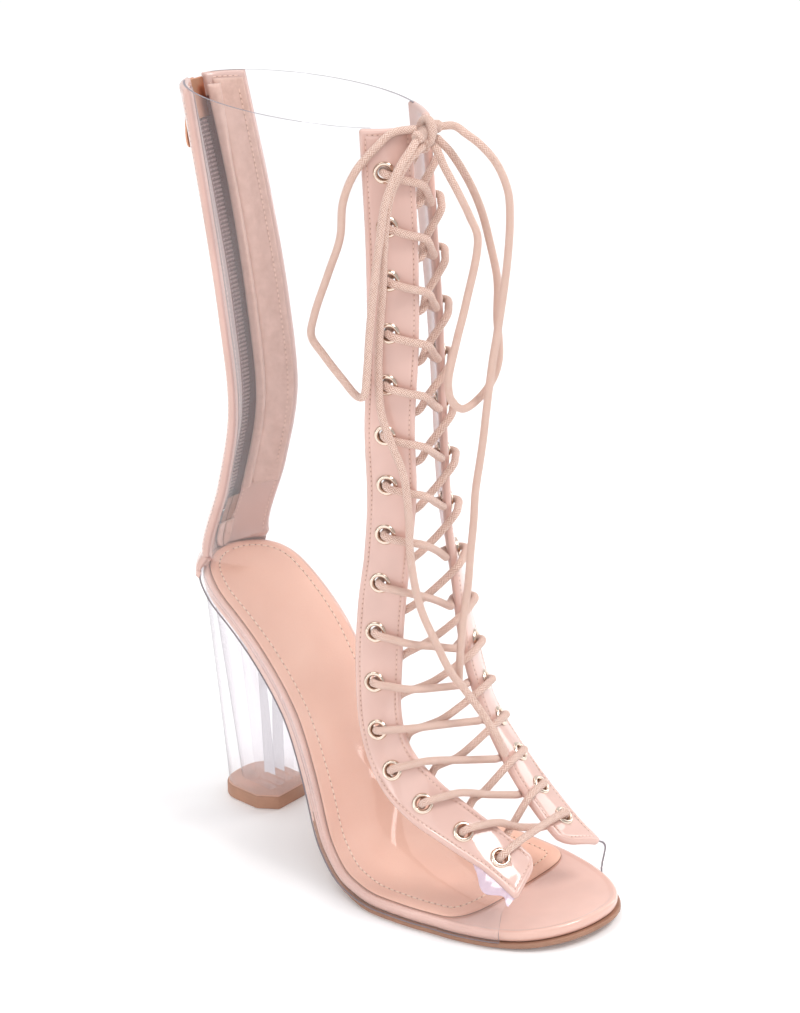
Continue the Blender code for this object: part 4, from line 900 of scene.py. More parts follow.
class Last:
    """The last's surface in fine steps, so that many points are read from it at once."""

    def __init__(self):
        self.rows = np.linspace(0, COLLAR_ROW, FINE_ROWS)
        self.points, self.normals, self.lengths, self.edges = {}, {}, {}, {}
        for side in (-1, 1):
            arches = [arch(round(float(row), 6), side)[0] for row in self.rows]
            grid = np.array([even_points(points, FINE_SHARES) for points in arches])
            self.points[side] = grid
            self.lengths[side] = np.array([reach(round(float(row), 6), side) for row in self.rows])
            low = np.clip(np.arange(FINE_ROWS) - TURN_STEPS, 0, None)
            high = np.clip(np.arange(FINE_ROWS) + TURN_STEPS, None, FINE_ROWS - 1)
            normal = unit(np.cross(np.gradient(grid, axis=1), grid[high] - grid[low]))
            cuts = [section(float(row)) for row in self.rows]
            middle = np.array([(cut["ridge"] + cut["foot"][side]) / 2 for cut in cuts])
            middle[:, 0] = [(cut["width"][-1] + cut["width"][1]) / 2 for cut in cuts]
            away = np.sum(normal * (grid - middle[:, None, :]), axis=2)
            normal *= np.where(away >= 0, 1.0, -1.0)[:, :, None]
            self.normals[side] = normal
            feet = [cut["foot"][side][1] for cut in cuts]
            self.edges[side] = np.array([edge_normal(y, side) for y in feet])
        self.down = -np.array([(0.0, *sole_normal(y)) for y in feet])
        # The two sides meet smoothly down the back.
        back = unit(self.normals[-1][:, -1] + self.normals[1][:, -1])
        above = self.rows > HEEL_ROW
        for side in (-1, 1):
            for k in range(1, BACK_BLEND + 1):
                share = 1 - (k - 1) / BACK_BLEND
                mixed = unit(self.normals[side][:, -k] * (1 - share) + back * share)
                self.normals[side][above, -k] = mixed[above]

    def row_index(self, row):
        place = np.clip(np.asarray(row, float) / COLLAR_ROW, 0, 1) * (FINE_ROWS - 1)
        low = np.minimum(place.astype(int), FINE_ROWS - 2)
        return low, place - low

    def between(self, table, row):
        """A table's values between its rows."""
        low, part = self.row_index(row)
        part = part.reshape(part.shape + (1,) * (table.ndim - 1))
        return table[low] * (1 - part) + table[low + 1] * part

    def reach(self, side, row):
        return self.between(self.lengths[side], row)

    def read(self, table, row, share):
        low, part = self.row_index(row)
        column = np.clip(share, 0, 1) * (FINE_SHARES - 1)
        left = np.minimum(column.astype(int), FINE_SHARES - 2)
        across = (column - left)[..., None]
        part = part[..., None]
        first = table[low, left] * (1 - across) + table[low, left + 1] * across
        second = table[low + 1, left] * (1 - across) + table[low + 1, left + 1] * across
        return first * (1 - part) + second * part

    def shell(self, side, row, along, offset):
        """Points along their section and out from the last; past a foot on the sole, down beside it."""
        row, along, offset = (value * 1.0 for value in np.broadcast_arrays(row, along, offset))
        end = self.reach(side, row)
        inside = np.minimum(along, end)
        place = self.read(self.points[side], row, inside / end)
        normal = self.read(self.normals[side], row, inside / end)
        edge, down = (self.between(table, row) for table in (self.edges[side], self.down))
        on_sole = (row < HEEL_ROW)[..., None]
        near = np.clip(1 - (end - inside) / FOOT_BLEND, 0, 1)[..., None]
        near = near * near * (3 - 2 * near) * on_sole
        outward = unit(normal * (1 - near) + edge * near)
        below = np.maximum(along - end, 0)[..., None] * on_sole
        clear = SKIRT_CLEARANCE * near
        return place + outward * (offset[..., None] + clear) + down * below


LAST = Last()
LINE_NUMBERS = np.arange(len(LINES))
FOOT_ROWS = np.array([line[1] for line in LINES])
THROAT_ROWS = {side: np.array([line[0][side] for line in LINES]) for side in (-1, 1)}


def throat_gap(side, row):
    """Distance from the ridge to the throat's edge."""
    return LAST.between(GAPS[side], row)


GAPS = {side: np.array([section(float(row))["gap"][side] for row in LAST.rows]) for side in (-1, 1)}


def sheets(side, row, along, *heights):
    """The same places at each height out from the last, one sheet of points after another."""
    return np.concatenate([LAST.shell(side, row, along, height) for height in heights]).reshape(-1, 3)


def hump(values, middle, width):
    """1 at the middle, falling off smoothly over a width."""
    return np.exp(-(((values - middle) / width) ** 2))


def rounded(edge, half, roll):
    """Half the thickness of a sheet that is rolled round at its edge."""
    return half * np.sqrt(1 - (1 - np.clip(edge / roll, 0, 1)) ** 2)


# ---------------------------------------------------------------- cords


def lace_material():
    """Round braided lace: pale flecks on rose beige, plaited both ways round."""
    made = plain("braided_lace", (0.76, 0.52, 0.44), 0.62, Sheen_Weight=0.25, Sheen_Roughness=0.4)
    nodes = Nodes(made)
    split = nodes.add("ShaderNodeSeparateXYZ")
    nodes.link(nodes.add("ShaderNodeUVMap", uv_map="grain").outputs[0], split.inputs[0])
    turns = nodes.math("MULTIPLY", split.outputs[0], 9.0)
    steps = nodes.math("MULTIPLY", split.outputs[1], 10.0)
    waves = []
    for sign in (1.0, -1.0):
        phase = nodes.math("MULTIPLY_ADD", turns, sign, steps)
        waves.append(nodes.math("SINE", nodes.math("MULTIPLY", phase, 2 * math.pi)))
    over = nodes.math("GREATER_THAN", nodes.math("SINE", nodes.math("MULTIPLY", steps, math.pi)), 0.0)
    first = nodes.math("MULTIPLY", waves[0], over)
    second = nodes.math("MULTIPLY", waves[1], nodes.math("SUBTRACT", 1.0, over))
    plait = nodes.math("MULTIPLY_ADD", nodes.math("ADD", first, second), 0.5, 0.5)
    fleck = nodes.noise(900.0, 2.0, 0.6)
    light = nodes.math("MULTIPLY_ADD", fleck, 0.55, nodes.math("MULTIPLY", plait, 0.6))
    nodes.colour(
        nodes.ramp(light, (0.2, (0.50, 0.27, 0.20)), (0.5, (0.73, 0.465, 0.365)), (0.85, (0.92, 0.73, 0.64)))
    )
    nodes.normal(nodes.bump(nodes.math("ADD", plait, fleck), 0.8, 0.0003))
    return made


LACE = lace_material()
CORD_STEP = 1.1
CORD_SEGMENTS = 14


def make_cords():
    """The bow's loops and ends: a detailed lace along each packed route, in place of its plain solid."""
    for name, piece_name, far_end in (
        ("lace_loop_lateral", "bow_loop_lateral", "object"),
        ("lace_loop_medial", "bow_loop_medial", "object"),
        ("lace_end_lateral", "bow_end_lateral", "bare"),
        ("lace_end_medial", "bow_end_medial", "bare"),
    ):
        route = smooth_path(BOW_ROUTES[name], CORD_STEP)
        piece = tube_mesh(piece_name, route, LACE_RADIUS, CORD_SEGMENTS, LACE)
        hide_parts(name)


def make_knot():
    """The bow's knot: a band of lace round the crossed strands, which bulge out of both sides."""
    turns = np.linspace(0, 2 * math.pi, 41)
    band = [(0.5 * math.sin(a), -3.1 * math.cos(a), 4.9 * math.sin(a) + 0.3) for a in turns]
    lump = [(6.2 * t, 0.3 - 1.2 * t * t, 0.4 + 1.0 * math.sin(2.2 * t)) for t in np.linspace(-1, 1, 21)]
    under = [
        (3.1 * math.sin(a) + 0.6, 0.4 - 2.6 * math.cos(a), -2.6 + 2.3 * math.sin(a + 0.7))
        for a in np.linspace(0.2, 5.6, 31)
    ]
    points, faces = [], []
    segments = 12
    for path, radius in ((band, 1.9), (lump, 2.7), (under, 1.65)):
        add_body(points, faces, tube_points(np.array(KNOT_CENTRE) + path, radius, segments)[0])
    number = np.arange(len(points))
    uvs = np.stack([number % segments / segments, number // segments * 0.11], axis=1)
    knot = add_mesh("bow_knot", points, faces, [LACE], uvs=uvs)
    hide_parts("lace_knot")


# ---------------------------------------------------------------- materials


def patent_material(name, colour, roughness=0.17):
    """Glossy patent: a clear coat on a softer nude base, slightly uneven."""
    made = plain(name, colour, 0.34, Coat_Weight=0.9, Coat_Roughness=0.045, IOR=1.5)
    nodes = Nodes(made)
    nodes.cloud(nodes.noise(28.0, 3.0, 0.55), colour, 0.93, 1.05)
    grain = nodes.noise(420.0, 2.0, 0.5)
    nodes.rough(nodes.math("MULTIPLY_ADD", grain, 0.10, roughness + 0.12))
    fine = nodes.bump(nodes.noise(150.0, 2.0, 0.5), 0.06, 0.0006)
    nodes.normal(nodes.bump(nodes.noise(85.0, 1.5, 0.5), 0.45, 0.0014, under=fine))
    return made


def lining_material():
    """Suede-like lining: fine nap, no gloss."""
    made = plain("suede_lining", (0.66, 0.44, 0.37), 0.9, Sheen_Weight=0.4, Sheen_Roughness=0.5)
    nodes = Nodes(made)
    nap = nodes.noise(260.0, 4.0, 0.65)
    fine = nodes.noise(1800.0, 2.0, 0.6)
    nodes.colour(nodes.ramp(nap, (0.25, (0.58, 0.38, 0.315)), (0.75, (0.72, 0.50, 0.43))))
    nodes.normal(nodes.bump(nodes.math("ADD", nap, fine), 0.35, 0.0004))
    return made


def sock_material():
    """Matt peach insole with a leather-like pore."""
    made = plain("peach_insole", (0.86, 0.51, 0.385), 0.58, Specular_IOR_Level=0.35)
    nodes = Nodes(made)
    cloud = nodes.noise(35.0, 3.0, 0.5)
    pore = nodes.add("ShaderNodeTexVoronoi")
    nodes.feed(pore, {"Vector": nodes.place(), "Scale": 1100.0})
    nodes.colour(nodes.ramp(cloud, (0.3, (0.82, 0.475, 0.355)), (0.7, (0.89, 0.55, 0.42))))
    nodes.rough(nodes.math("MULTIPLY_ADD", cloud, 0.12, 0.5))
    nodes.normal(nodes.bump(pore.outputs[0], 0.25, 0.0003))
    return made


def tan_material(name, colour):
    """Moulded tan unit: fine pebble and soft wear."""
    made = plain(name, colour, 0.5, Specular_IOR_Level=0.4)
    nodes = Nodes(made)
    cloud = nodes.noise(60.0, 4.0, 0.6)
    nodes.cloud(cloud, colour, 0.85, 1.15)
    nodes.rough(nodes.math("MULTIPLY_ADD", cloud, 0.2, 0.38))
    nodes.normal(nodes.bump(nodes.noise(900.0, 3.0, 0.6), 0.3, 0.0003))
    return made


def metal_material(name, colour, roughness):
    made = plain(name, colour, roughness, Metallic=1.0)
    nodes = Nodes(made)
    haze = nodes.noise(500.0, 2.0, 0.5)
    nodes.rough(nodes.math("MULTIPLY_ADD", haze, 0.12, roughness - 0.05))
    nodes.normal(nodes.bump(haze, 0.05, 0.0002))
    return made


def clear_material(name, tints, gloss_colour, rough, steep, most, least, ripple=False, painted_glow=None):
    """See-through plastic, tinted where a wall is seen aslant, with a crisp gloss and, when asked, a painted
    glow behind many walls.
    """
    made = bpy.data.materials.new(name)
    made.use_nodes = True
    nodes = Nodes(made)
    aslant = nodes.feed(nodes.add("ShaderNodeLayerWeight"), {"Blend": 0.5}).outputs["Facing"]
    through = nodes.feed(nodes.add("ShaderNodeBsdfTransparent"), {"Color": nodes.ramp(aslant, *tints)})
    gloss = nodes.feed(nodes.add("ShaderNodeBsdfGlossy"), {"Color": gloss_colour, "Roughness": rough})
    if ripple:
        nodes.link(nodes.bump(nodes.noise(38.0, 2.0, 0.5), 0.12, 0.002), gloss.inputs["Normal"])
    share = nodes.math("MULTIPLY_ADD", nodes.math("POWER", aslant, steep), most, least)
    surface = nodes.mix(share, through.outputs[0], gloss.outputs[0])
    if painted_glow:
        # Behind many walls a ray ends in a pale emission, not in black: a painted glow that stands in for the
        # light the further walls would let through.
        depth = nodes.add("ShaderNodeLightPath").outputs["Transparent Depth"]
        pale = nodes.feed(nodes.add("ShaderNodeEmission"), {"Color": painted_glow})
        surface = nodes.mix(nodes.math("GREATER_THAN", depth, 6.5), surface, pale.outputs[0])
    nodes.link(surface, nodes.output.inputs["Surface"])
    nodes.tree.nodes.remove(nodes.shader)
    return made


def fold_material():
    """Puckered clear sheet seen through several folds: lavender, half see-through and glossy."""
    made = plain("film_fold", (0.74, 0.64, 0.78), 0.25, Alpha=0.5, Coat_Weight=1.0, Coat_Roughness=0.05)
    nodes = Nodes(made)
    nodes.normal(nodes.bump(nodes.noise(160.0, 1.5, 0.5), 0.5, 0.0012))
    return made


PATENT = patent_material("patent_nude", (0.70, 0.455, 0.39))
PATENT_SOLE = patent_material("patent_footbed", (0.78, 0.485, 0.40))
PATENT_INSIDE = patent_material("patent_inside", (0.62, 0.42, 0.37), 0.3)
LINING = lining_material()
SOCK = sock_material()
TAN = tan_material("tan_sole", (0.36, 0.19, 0.125))
LIFT_TAN = tan_material("tan_lift", (0.44, 0.235, 0.155))
# The lift's upper face in a paler tan: painted light, as the sole above shades that face.
LIFT_TOP_PAINTED_LIGHT = tan_material("lift_top_painted_light", (0.80, 0.50, 0.38))
GOLD = metal_material("champagne_gold", (0.80, 0.66, 0.55), 0.12)
ROSE = metal_material("rose_gold", (0.70, 0.36, 0.23), 0.3)
FILM_TINT = (0.992, 0.99, 0.993)
FILM = clear_material(
    "clear_film", ((0.0, FILM_TINT), (0.72, FILM_TINT), (0.98, (0.80, 0.77, 0.83))),
    (1.0, 1.0, 1.0, 1.0), 0.07, 5.0, 0.55, 0.034, ripple=True,
)
FILM_FOLD = fold_material()
# Painted shade: the clear sheet's cut edges in dark grey stand in for the dark line a clear edge shows.
FILM_EDGE_SHADE = plain("film_edge_shade", (0.27, 0.245, 0.27), 0.5, Specular_IOR_Level=0.2)
BLOCK = clear_material(
    "clear_block",
    (
        (0.0, (0.994, 0.99, 0.994)), (0.5, (0.98, 0.972, 0.98)), (0.78, (0.86, 0.84, 0.86)),
        (0.97, (0.58, 0.55, 0.585)),
    ),
    # The last setting is a painted glow: a pale emission seen past many walls of the block.
    (0.8, 0.8, 0.8, 1.0), 0.06, 4.0, 0.75, 0.05, painted_glow=(0.86, 0.845, 0.86, 1.0),
)
THREAD = plain("thread", (0.80, 0.58, 0.49), 0.7)
PALE_THREAD = plain("pale_thread", (0.93, 0.72, 0.58), 0.65)
MAUVE = plain("zip_tape", (0.26, 0.16, 0.155), 0.85)
COIL = plain("zip_coil", (0.50, 0.35, 0.36), 0.35)
ZIP_CHAIN = plain("zip_chain", (0.44, 0.28, 0.27), 0.6)
# A darker copy of the suede for the lateral lining: painted shade, as that inside lies in shadow.
LINING_PAINTED_SHADE = plain("lining_painted_shade", (0.34, 0.25, 0.245), 0.85, Sheen_Weight=0.2)
# Dark brown for the insole's seam line, and for the painted shade at the foot of the zip.
SEAM_AND_SHADE = plain("dark_seam_and_shade", (0.32, 0.17, 0.12), 0.7)
# Painted shade: small dark capsules between stitches stand in for the shadow inside the needle holes.
NEEDLE_HOLE_SHADE = plain("needle_hole_shade", (0.44, 0.26, 0.20), 0.8)


def weave_tape():
    """Fine ribs across the zip's tapes."""
    nodes = Nodes(MAUVE)
    wave = nodes.add("ShaderNodeTexWave", wave_type="BANDS", bands_direction="Z")
    nodes.feed(wave, {"Vector": nodes.place(), "Scale": 420.0, "Distortion": 1.0})
    nodes.colour(nodes.ramp(wave.outputs["Fac"], (0.2, (0.15, 0.07, 0.066)), (0.8, (0.23, 0.12, 0.112))))
    nodes.normal(nodes.bump(wave.outputs["Fac"], 0.4, 0.0003))


weave_tape()


# ---------------------------------------------------------------- sole and heel


def sole_shape(name, stations, steps, materials, tip_at_start=True, node=None, drop=0.0, **toe):
    """A solid through inset and height steps, its two caps laid out in fine columns across."""
    rings = [np.array(sole_ring(stations, *step, **toe)) for step in steps]
    for ring, (_, height) in zip(rings, steps):
        if drop and height < -3:
            for point in ring:
                fall = drop * float(np.clip((point[1] + 75) / 15, 0, 1))
                point -= np.array((0.0, *sole_normal(point[1]))) * fall
    points = list(np.concatenate(rings))
    faces = loft(rings)
    ring = len(rings[0])
    columns = 12
    for level, flip in ((0, False), (len(rings) - 1, True)):
        edge = rings[level]
        low, high = (1, ring - 1) if tip_at_start else (0, ring - 1)
        rows = []
        while high - low > 1:
            row = [level * ring + low]
            for share in np.arange(1, columns) / columns:
                points.append(edge[low] * (1 - share) + edge[high] * share)
                row.append(len(points) - 1)
            rows.append([*row, level * ring + high])
            low, high = low + 1, high - 1
        cap = []
        for a, b in zip(rows[:-1], rows[1:]):
            cap += [(a[i], b[i], b[i + 1], a[i + 1]) for i in range(columns)]
        if tip_at_start:
            cap += [(level * ring, rows[0][i], rows[0][i + 1]) for i in range(columns)]
        faces += [face[::-1] for face in cap] if flip else cap
    made = add_mesh(name, points, faces, materials, sharp=50)
    if node:
        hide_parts(node)
    return made


SOCK_TOE = {"toe_end": SOCK_END, "toe_round": SOCK_ROUND, "toe_power": SOCK_TOE_POWER}
SOCK_TOP = FIT_GAP + SOCK_THICKNESS


def make_sole():
    """Wrapped footbed, tan outsole and stitched insole. Each step is (inset from the edge, height)."""
    stations = sole_stations(HEEL_END, TOE_END, TOE_ROUND)
    steps = [
        (1.2, -FOOTBED_THICKNESS), (0.5, -4.3), (0.12, -3.5), (0.0, -2.6), (0.0, -1.4), (0.2, -0.7),
        (0.55, -0.25), (1.1, 0.0), (1.7, -0.04), (2.4, -0.32), (3.2, -0.45),
    ]
    footbed = sole_shape("footbed_cover", stations, steps, [PATENT_SOLE], node="footbed", drop=1.2)

    stations = sole_stations(OUTSOLE_START, TOE_END, TOE_ROUND)
    middle = OUTSOLE_BOTTOM + 0.6
    margin = np.minimum(outsole_margin(stations), 1.0)
    steps = [
        (0.9 - margin, OUTSOLE_BOTTOM), (0.4 - margin, middle - 0.2), (-margin, middle + 0.3),
        (-margin, OUTSOLE_TOP - 0.35), (0.4 - margin, OUTSOLE_TOP),
    ]
    skins = [TAN, PATENT_SOLE]
    outsole = sole_shape("outsole_unit", stations, steps, skins, tip_at_start=False, node="outsole")
    for face in outsole.data.polygons:
        # The patent wrap runs down the outsole's edge beside the waist.
        place = face.center / MM + Vector(CENTRE)
        if place.y > -72 and abs(face.normal.z) < 0.7 and abs(face.normal.x) > 0.25:
            face.material_index = 1

    stations = sole_stations(HEEL_END, SOCK_END, SOCK_ROUND)
    top = SOCK_TOP
    seam_inset = sock_seam_inset(stations)
    steps = [
        (SOCK_INSET, -0.5), (SOCK_INSET, 0.45), (SOCK_INSET + 0.15, 0.8), (SOCK_INSET + 0.55, 1.05),
        (SOCK_INSET + 1.2, top), (seam_inset - 0.5, top + 0.05), (seam_inset, top - 0.18),
        (seam_inset + 0.5, top + 0.05), (seam_inset + 1.6, top + 0.08),
    ]
    sock = sole_shape("insole_cover", stations, steps, [SOCK], node="insole_sock", **SOCK_TOE)
    steps = [(SOCK_INSET - 0.22, 0.02), (SOCK_INSET - 0.22, 0.3), (SOCK_INSET + 0.5, 0.42)]
    seam = sole_shape("insole_seam", stations, steps, [SEAM_AND_SHADE], **SOCK_TOE)
    ring = np.array(sole_ring(stations, seam_inset, top - 0.02, **SOCK_TOE))
    made = add_stitches("insole_stitches", [[*ring, ring[0]]], 2.9, 1.9, 0.34, PALE_THREAD)


# A stitch is round, slimmer at its ends: (share of its length, share of its radius).
STITCH_SHAPE = ((0.0, 0.35), (0.14, 0.85), (0.5, 1.0), (0.86, 0.85), (1.0, 0.35))


def capsule(points, faces, start, end, radius, sides=6):
    """Adds one stitch between two points."""
    length = np.linalg.norm(end - start)
    if length < 1e-6:
        return
    axis = (end - start) / length
    side = unit(np.cross(axis, (0.31, 0.17, 0.93)))
    up = np.cross(axis, side)
    angles = [2 * math.pi * i / sides for i in range(sides)]
    around = [side * math.cos(angle) + up * math.sin(angle) for angle in angles]
    rings = []
    for share, size in STITCH_SHAPE:
        rings.append([start + axis * length * share + turn * radius * size for turn in around])
    add_body(points, faces, rings)


def add_stitches(name, paths, pitch, length, radius, thread):
    """Rows of stitches along paths, with a small dark capsule between each pair: painted shade for the needle
    hole.
    """
    points, faces, which = [], [], []
    gap = pitch - length
    for path in paths:
        path = np.asarray(path, float)
        run = run_along(path)
        for start in np.arange(pitch * 0.4, run[-1] - length, pitch):
            stitch = (start, start + length, radius)
            # The dark capsule between stitches is painted shade for the needle hole.
            hole = (start + length + gap * 0.2, start + pitch - gap * 0.2, radius * 0.9)
            for kind, (low, high, size) in enumerate((stitch, hole)):
                before = len(faces)
                capsule(points, faces, read_path(path, run, low), read_path(path, run, high), size)
                which += [kind] * (len(faces) - before)
    return add_mesh(name, points, faces, [thread, NEEDLE_HOLE_SHADE], which=which)


def sock_seam_inset(stations):
    """The insole's seam runs farther in towards the toe."""
    return 6.4 + 2.2 * np.clip((10.0 - np.asarray(stations, float)) / 80.0, 0, 1)


def rounded_loop(ring, rounds, steps):
    """The same loop with its corners rounded: (corner index, distance cut from each side)."""
    ring = np.array(ring, float)
    out = []
    for i, point in enumerate(ring):
        if i not in rounds:
            out.append(point)
            continue
        start = point + unit(ring[i - 1] - point) * rounds[i]
        end = point + unit(ring[(i + 1) % len(ring)] - point) * rounds[i]
        for t in np.linspace(0, 1, steps):
            out.append(start * (1 - t) ** 2 + point * 2 * t * (1 - t) + end * t**2)
    return out


HEEL_LEVELS = 25


def make_heel():
    """Clear block from the lift to the seat, with its ribbed hollow."""
    count = 40
    rings = []
    seats = [even_points(seat_side(side), count) for side in (-1, 1)]
    base = LIFT_HEIGHT + FIT_GAP
    feet = [even_points([(x, y, base) for x, y in lift_side(side, HEEL_INSET)], count) for side in (-1, 1)]
    for share in np.linspace(0.002, 0.998, HEEL_LEVELS):
        lateral, medial = (foot + (seat - foot) * share for foot, seat in zip(feet, seats))
        rings.append([*lateral, *medial[:0:-1]])
    points = [point for ring in rings for point in ring]
    faces = loft(rings) + end_caps(rings, flip=True)
    hollow = [fine_pocket(share) for share in np.linspace(0.0, 0.93, 14)]
    start = len(points)
    points += [point for ring in hollow for point in ring]
    faces += loft(hollow, start, flip=True) + end_caps(hollow, start)
    heel = add_mesh("clear_heel", points, faces, [BLOCK], sharp=28)
    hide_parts("heel_block")


def fine_pocket(share):
    """The hollow's outline, comb-shaped with rounded slot ends, following the seat's slope at its top."""
    slot = (2 - (POCKET_SLOTS - 1) * POCKET_RIB) / POCKET_SLOTS
    outline = []
    for i in range(POCKET_SLOTS):
        start = -1 + i * (slot + POCKET_RIB)
        end = start + slot
        outline += [(start, POCKET_RIB_REACH), (start, 0.0), (end, 0.0), (end, POCKET_RIB_REACH)]
    outline = outline[1:-1]
    turns = np.linspace(1.3, -1.3, 17)
    back = [(math.sin(a), POCKET_CURVE + (1 - POCKET_CURVE) * math.cos(a)) for a in turns]
    half = LIFT_HALF_WIDTH - HEEL_SIDE_WALL + (SEAT_HALF_WIDTH - LIFT_HALF_WIDTH) * share
    front = LIFT_FRONT + HEEL_BREAST_WALL
    rear = LIFT_BACK - HEEL_BACK_WALL + (HEEL_END - LIFT_BACK) * share
    low = LIFT_HEIGHT + FIT_GAP + HEEL_FLOOR
    ring = []
    for u, v in rounded_loop([*outline, *back], {i: 0.035 for i in range(len(outline))}, 3):
        y = front + (rear - front) * v
        ceiling = top_height(min(y, HEEL_END)) - FOOTBED_THICKNESS - 4.5
        ring.append((LIFT_X + u * half, y, low + (ceiling - low) * share))
    return ring


def make_lift():
    """Tan top lift with rounded edges and a paler upper face, which the clear heel shows; the paler face is
    painted light, since the sole above keeps the lamps off it.
    """
    rings = []
    for inset, z in (
        (1.2, 0.02), (0.5, 0.1), (0.1, 0.5), (0.0, 0.9), (0.0, LIFT_HEIGHT - 0.7), (0.12, LIFT_HEIGHT - 0.25),
        (0.45, LIFT_HEIGHT),
    ):
        half = LIFT_HALF_WIDTH - inset
        back, front = LIFT_BACK - inset, LIFT_FRONT + inset
        angles = np.linspace(0, math.pi / 2, 25)
        outline = [(half * math.sin(a) ** 0.8, back - LIFT_ROUND * (1 - math.cos(a) ** 0.8)) for a in angles]
        outline += [(half, front + LIFT_CHAMFER + 0.8), (half - 0.2, front + LIFT_CHAMFER - 0.3)]
        outline += [(half - LIFT_CHAMFER * 0.7 + 0.3, front + 0.4), (half - LIFT_CHAMFER * 0.7 - 0.6, front)]
        lateral, medial = ([(LIFT_X + side * x, y, z) for x, y in outline] for side in (-1, 1))
        rings.append([*lateral, *medial[:0:-1]])
    faces = loft(rings) + end_caps(rings, flip=True)
    # The top cap gets the paler tan: painted light.
    which = [0] * (len(faces) - 1) + [1]
    skins = [LIFT_TAN, LIFT_TOP_PAINTED_LIGHT]
    lift = add_mesh("top_lift_unit", np.concatenate(rings), faces, skins, which=which, sharp=30)
    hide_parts("top_lift")


# ---------------------------------------------------------------- clear upper

FILM_LINES = 220
FILM_COLUMNS = 72
FILM_SKIRT = (0.8, 2.0, 3.4, 4.7)
FILM_HEIGHTS = (0.35, 1.25)
# Columns that the sheet leaves open beside the zip.
SLIT_COLUMNS = 6


def film_offset(side, place):
    """How far the clear sheet stands in or out of the last: listed soft troughs and ridges."""
    out = np.zeros(place.shape[:-1])
    for at, start, end, width, height in CREASES:
        if at == side:
            start, axis = np.array(start, float), np.array(end, float) - start
            share = np.clip(((place - start) @ axis) / np.linalg.norm(axis) ** 2, 0, 1)
            distance = np.linalg.norm(place - (start + share[..., None] * axis), axis=-1)
            taper = np.sin(math.pi * np.clip(0.08 + 0.84 * share, 0, 1)) ** 0.7
            out += height * taper * hump(distance, 0, width)
    return out


CREASES = (
    # (side, from, to, half width, height)
    (-1, (-30, -60, 170), (-20, -20, 120), 7.0, -1.6),
    (-1, (-33, -50, 190), (-31, -8, 150), 6.0, 1.4),
    (-1, (-34, -70, 120), (-30, -20, 100), 8.0, -1.2),
    (-1, (-28, -30, 300), (-33, -40, 220), 9.0, 1.2),
    (-1, (-24, -60, 320), (-30, -62, 230), 8.0, -1.2),
    (-1, (-44, -110, 60), (-34, -60, 90), 7.0, 1.3),
    (-1, (-31, -169, 24), (-42, -158, 8), 3.4, 1.9),
    (-1, (-35, -160, 28), (-45, -149, 10), 3.0, -1.7),
    (-1, (-38, -151, 32), (-46, -141, 13), 3.2, 1.5),
    (1, (30, -60, 170), (28, -20, 120), 7.0, -1.6),
    (1, (34, -50, 190), (32, -8, 150), 6.0, 1.4),
    (1, (34, -70, 120), (30, -20, 100), 8.0, -1.2),
    (1, (33, -30, 300), (32, -40, 220), 9.0, 1.2),
)


def make_film():
    """Clear quarters and shaft: one sheet a side with its wall, tucked down beside the footbed."""
    for side in (-1, 1):
        lines = np.linspace(0, len(LINES) - 1, FILM_LINES)
        shares = np.linspace(0, 1, FILM_COLUMNS)[None, :]
        throat = np.interp(lines, LINE_NUMBERS, THROAT_ROWS[side])
        foot = np.interp(lines, LINE_NUMBERS, FOOT_ROWS)
        start = (throat_gap(side, throat) + EYELET_INSET + EYELET_CELL)[:, None]
        rows = throat[:, None] + (foot - throat)[:, None] * shares
        ends = LAST.reach(side, rows)
        along = start + (ends - start) * shares
        lift = film_offset(side, LAST.shell(side, rows, along, 0.8))
        lift = lift * (np.minimum(shares * 12, 1) * np.minimum((1 - shares) * 8, 1))
        layers = []
        for height in FILM_HEIGHTS:
            skirt = [LAST.shell(side, rows[:, -1], ends[:, -1] + depth, height) for depth in FILM_SKIRT]
            layer = LAST.shell(side, rows, along, height + lift)
            layers.append(np.concatenate([layer, np.stack(skirt, axis=1)], axis=1).reshape(-1, 3))
        columns = FILM_COLUMNS + len(FILM_SKIRT)
        count = FILM_LINES * columns
        quads = []
        for quad in grid_faces(FILM_LINES, columns):
            i, j = divmod(int(quad[0]), columns)
            past_heel = lines[i + 1] > HEEL_LINE and j >= FILM_COLUMNS - 1
            in_slit = lines[i] > ZIP_LINE - 0.5 and j >= FILM_COLUMNS - SLIT_COLUMNS
            if not past_heel and not in_slit:
                quads.append(quad)
        edges = [edge for quad in quads for edge in zip(quad, (*quad[1:], quad[0]))]
        uses = collections.Counter(map(frozenset, edges))
        rims = [(a, b, b + count, a + count) for a, b in edges if uses[frozenset((a, b))] == 1]
        faces = [tuple(v + count for v in quad) for quad in quads] + [quad[::-1] for quad in quads] + rims
        if side < 0:
            faces = [face[::-1] for face in faces]
        # The rims take the dark grey: painted shade.
        which = [0] * 2 * len(quads) + [1] * len(rims)
        points, faces = without_spares(np.concatenate(layers), faces)
        name = "clear_sheet_" + SIDE_NAMES[side]
        film = add_mesh(name, points, faces, [FILM, FILM_EDGE_SHADE], which=which, sharp=60)
        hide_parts("upper")


# ---------------------------------------------------------------- eyestays

FLAP_LOW = -0.25
FLAP_HIGH = OVERLAY_BASE + EYESTAY_THICKNESS
# Places across a flap from its edge to its middle, close together round the edge and its stitches.
FLAP_SAMPLES = (0.0, 0.12, 0.4, 0.8, 1.3, 1.9, 2.25, 2.5, 2.75, 3.1, 4.0, 5.5, 7.2, 8.7, EYESTAY_WIDTH / 2)
TIP_THROAT = 11.5
TIP_REAR = 17.5
HOLE_RADIUS = 3.2
HOLE_REACH = (-6.0, 9.0)
STITCH_INSET = 2.5


